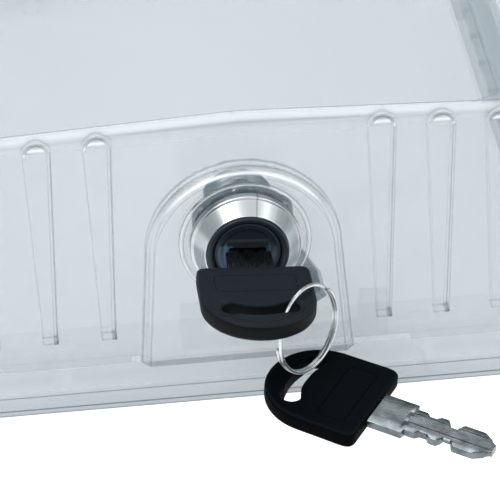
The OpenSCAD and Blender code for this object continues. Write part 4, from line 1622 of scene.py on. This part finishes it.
@dataclass(frozen=True)
class Studio:
    """Camera, pale floor, soft lights and world."""

    eye: tuple[float, float, float] = (-49.765, -633.473, 430.164)
    azimuth_deg: float = 5.369
    elevation_deg: float = 35.862
    roll_deg: float = -1.566
    focal_px: float = 2886.96
    image_px: float = 500.0
    clear_layers: int = 32
    floor_half: float = 6.0
    floor_z: float = -0.0002
    lamps_aim: tuple[float, float, float] = (0.0, 0.0, 0.03)

    def camera(self) -> None:
        """A camera at eye that looks along its azimuth and elevation, turned about its view by its roll."""
        az, el, roll = (math.radians(a) for a in (self.azimuth_deg, self.elevation_deg, self.roll_deg))
        back = np.array([-math.sin(az) * math.cos(el), -math.cos(az) * math.cos(el), math.sin(el)])
        right = np.cross(-back, [0, 0, 1])
        right /= np.linalg.norm(right)
        up = np.cross(right, -back)
        right, up = right * math.cos(roll) + up * math.sin(roll), up * math.cos(roll) - right * math.sin(roll)
        data = bpy.data.cameras.new("camera")
        data.sensor_width = 36.0
        data.lens = self.focal_px / self.image_px * data.sensor_width
        data.clip_start, data.clip_end = 0.01, 50.0
        bpy.context.scene.camera = self.stand("camera", data, (right, up, back), np.array(self.eye) * MM)

    @staticmethod
    def stand(name: str, data: bpy.types.ID, axes: Sequence[np.ndarray], at: Sequence[float]) -> bpy.types.Object:
        """Makes an object of camera or light data, with its X, Y and Z axes and its place in metres."""
        matrix = np.eye(4)
        matrix[:3, :3], matrix[:3, 3] = np.stack(axes, 1), at
        obj = bpy.data.objects.new(name, data)
        obj.matrix_world = Matrix(matrix.tolist())
        bpy.context.scene.collection.objects.link(obj)
        return obj

    def floor(self) -> None:
        """A wide pale floor that shows white to the camera and keeps the object's shadow."""
        tree = Tree(bpy.data.materials.new("floor_pale"))
        camera = tree.node("ShaderNodeLightPath", out="Is Camera Ray")
        seen = camera.most(tree.node("ShaderNodeLightPath", out="Is Glossy Ray"))
        diffuse = tree.node("ShaderNodeBsdfPrincipled", None, {"Base Color": (0.90, 0.91, 0.92, 1), "Roughness": 0.9})
        glow = tree.node("ShaderNodeEmission", None, {"Color": (1, 1, 1, 1), "Strength": 0.62})
        both = tree.node("ShaderNodeAddShader", None, {0: diffuse, 1: glow})
        material = tree.finish(tree.node("ShaderNodeMixShader", None, {0: seen, 1: diffuse, 2: both}))
        mesh = bpy.data.meshes.new("floor")
        size = self.floor_half
        mesh.from_pydata([(-size, -size, 0), (size, -size, 0), (size, size, 0), (-size, size, 0)], [], [(0, 1, 2, 3)])
        mesh.materials.append(material)
        floor = bpy.data.objects.new("floor", mesh)
        floor.location.z = self.floor_z
        bpy.context.scene.collection.objects.link(floor)

    def world(self) -> None:
        """A plain world: pale grey where the camera sees past the floor, and a soft cool white as light."""
        tree = Tree(bpy.data.worlds.new("studio"))
        seen = tree.node("ShaderNodeBackground", None, {"Strength": 1.0})
        fill = tree.node("ShaderNodeBackground", None, {"Color": (0.93, 0.96, 1.0, 1), "Strength": 0.55})
        camera = tree.node("ShaderNodeLightPath", out="Is Camera Ray")
        mix = tree.node("ShaderNodeMixShader", None, {0: camera, 1: fill, 2: seen})
        bpy.context.scene.world = tree.finish(mix, "ShaderNodeOutputWorld")

    def lamp(self, name: str, at: Sequence[float], size: float, watts: float) -> None:
        """A square soft light of a size in metres, aimed just above the middle of the floor."""
        data = bpy.data.lights.new(name, "AREA")
        data.shape, data.size, data.energy = "SQUARE", size, watts
        away = np.array(at, float) - np.array(self.lamps_aim)
        away /= np.linalg.norm(away)
        right = np.cross([0, 0, 1], away)
        right /= np.linalg.norm(right)
        self.stand(name, data, (right, np.cross(away, right), away), at)

    def build(self) -> None:
        """Sets the camera, floor, world, lights and view transform, and lets sight pass many clear walls."""
        self.camera()
        self.floor()
        self.world()
        self.lamp("key_light", (-0.55, -0.55, 1.05), 0.7, 8.0)
        self.lamp("fill_light", (0.9, -0.5, 0.7), 0.9, 4.0)
        self.lamp("back_light", (0.1, 0.75, 1.3), 0.6, 5.0)
        bpy.context.scene.view_settings.view_transform = "Standard"
        bpy.context.scene.cycles.transparent_max_bounces = self.clear_layers


def main() -> None:
    """Builds the studio and every piece."""
    logging.basicConfig(level=logging.INFO, format="%(name)s: %(message)s")
    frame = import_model()
    Studio().build()
    pad = ArchPad()
    paint = Finishes.make(pad)
    Tray().build(frame, paint)
    Cover(pad=pad).build(paint)
    lock = Lock()
    lock.build(frame, paint)
    in_lock = SIZES.lock_place(lock.turn).then(turn_about("X", 90), (0, 0, lock.bow_s))
    Key("key_1", in_lock).build(paint)
    Key("key_2", hanging_place(KEY_2_AT, KEY_2_TURN)).build(paint)
    SplitRing(hanging_place(RING_AT, RING_TURN)).build(paint.steel)


if __name__ == "__main__":
    main()
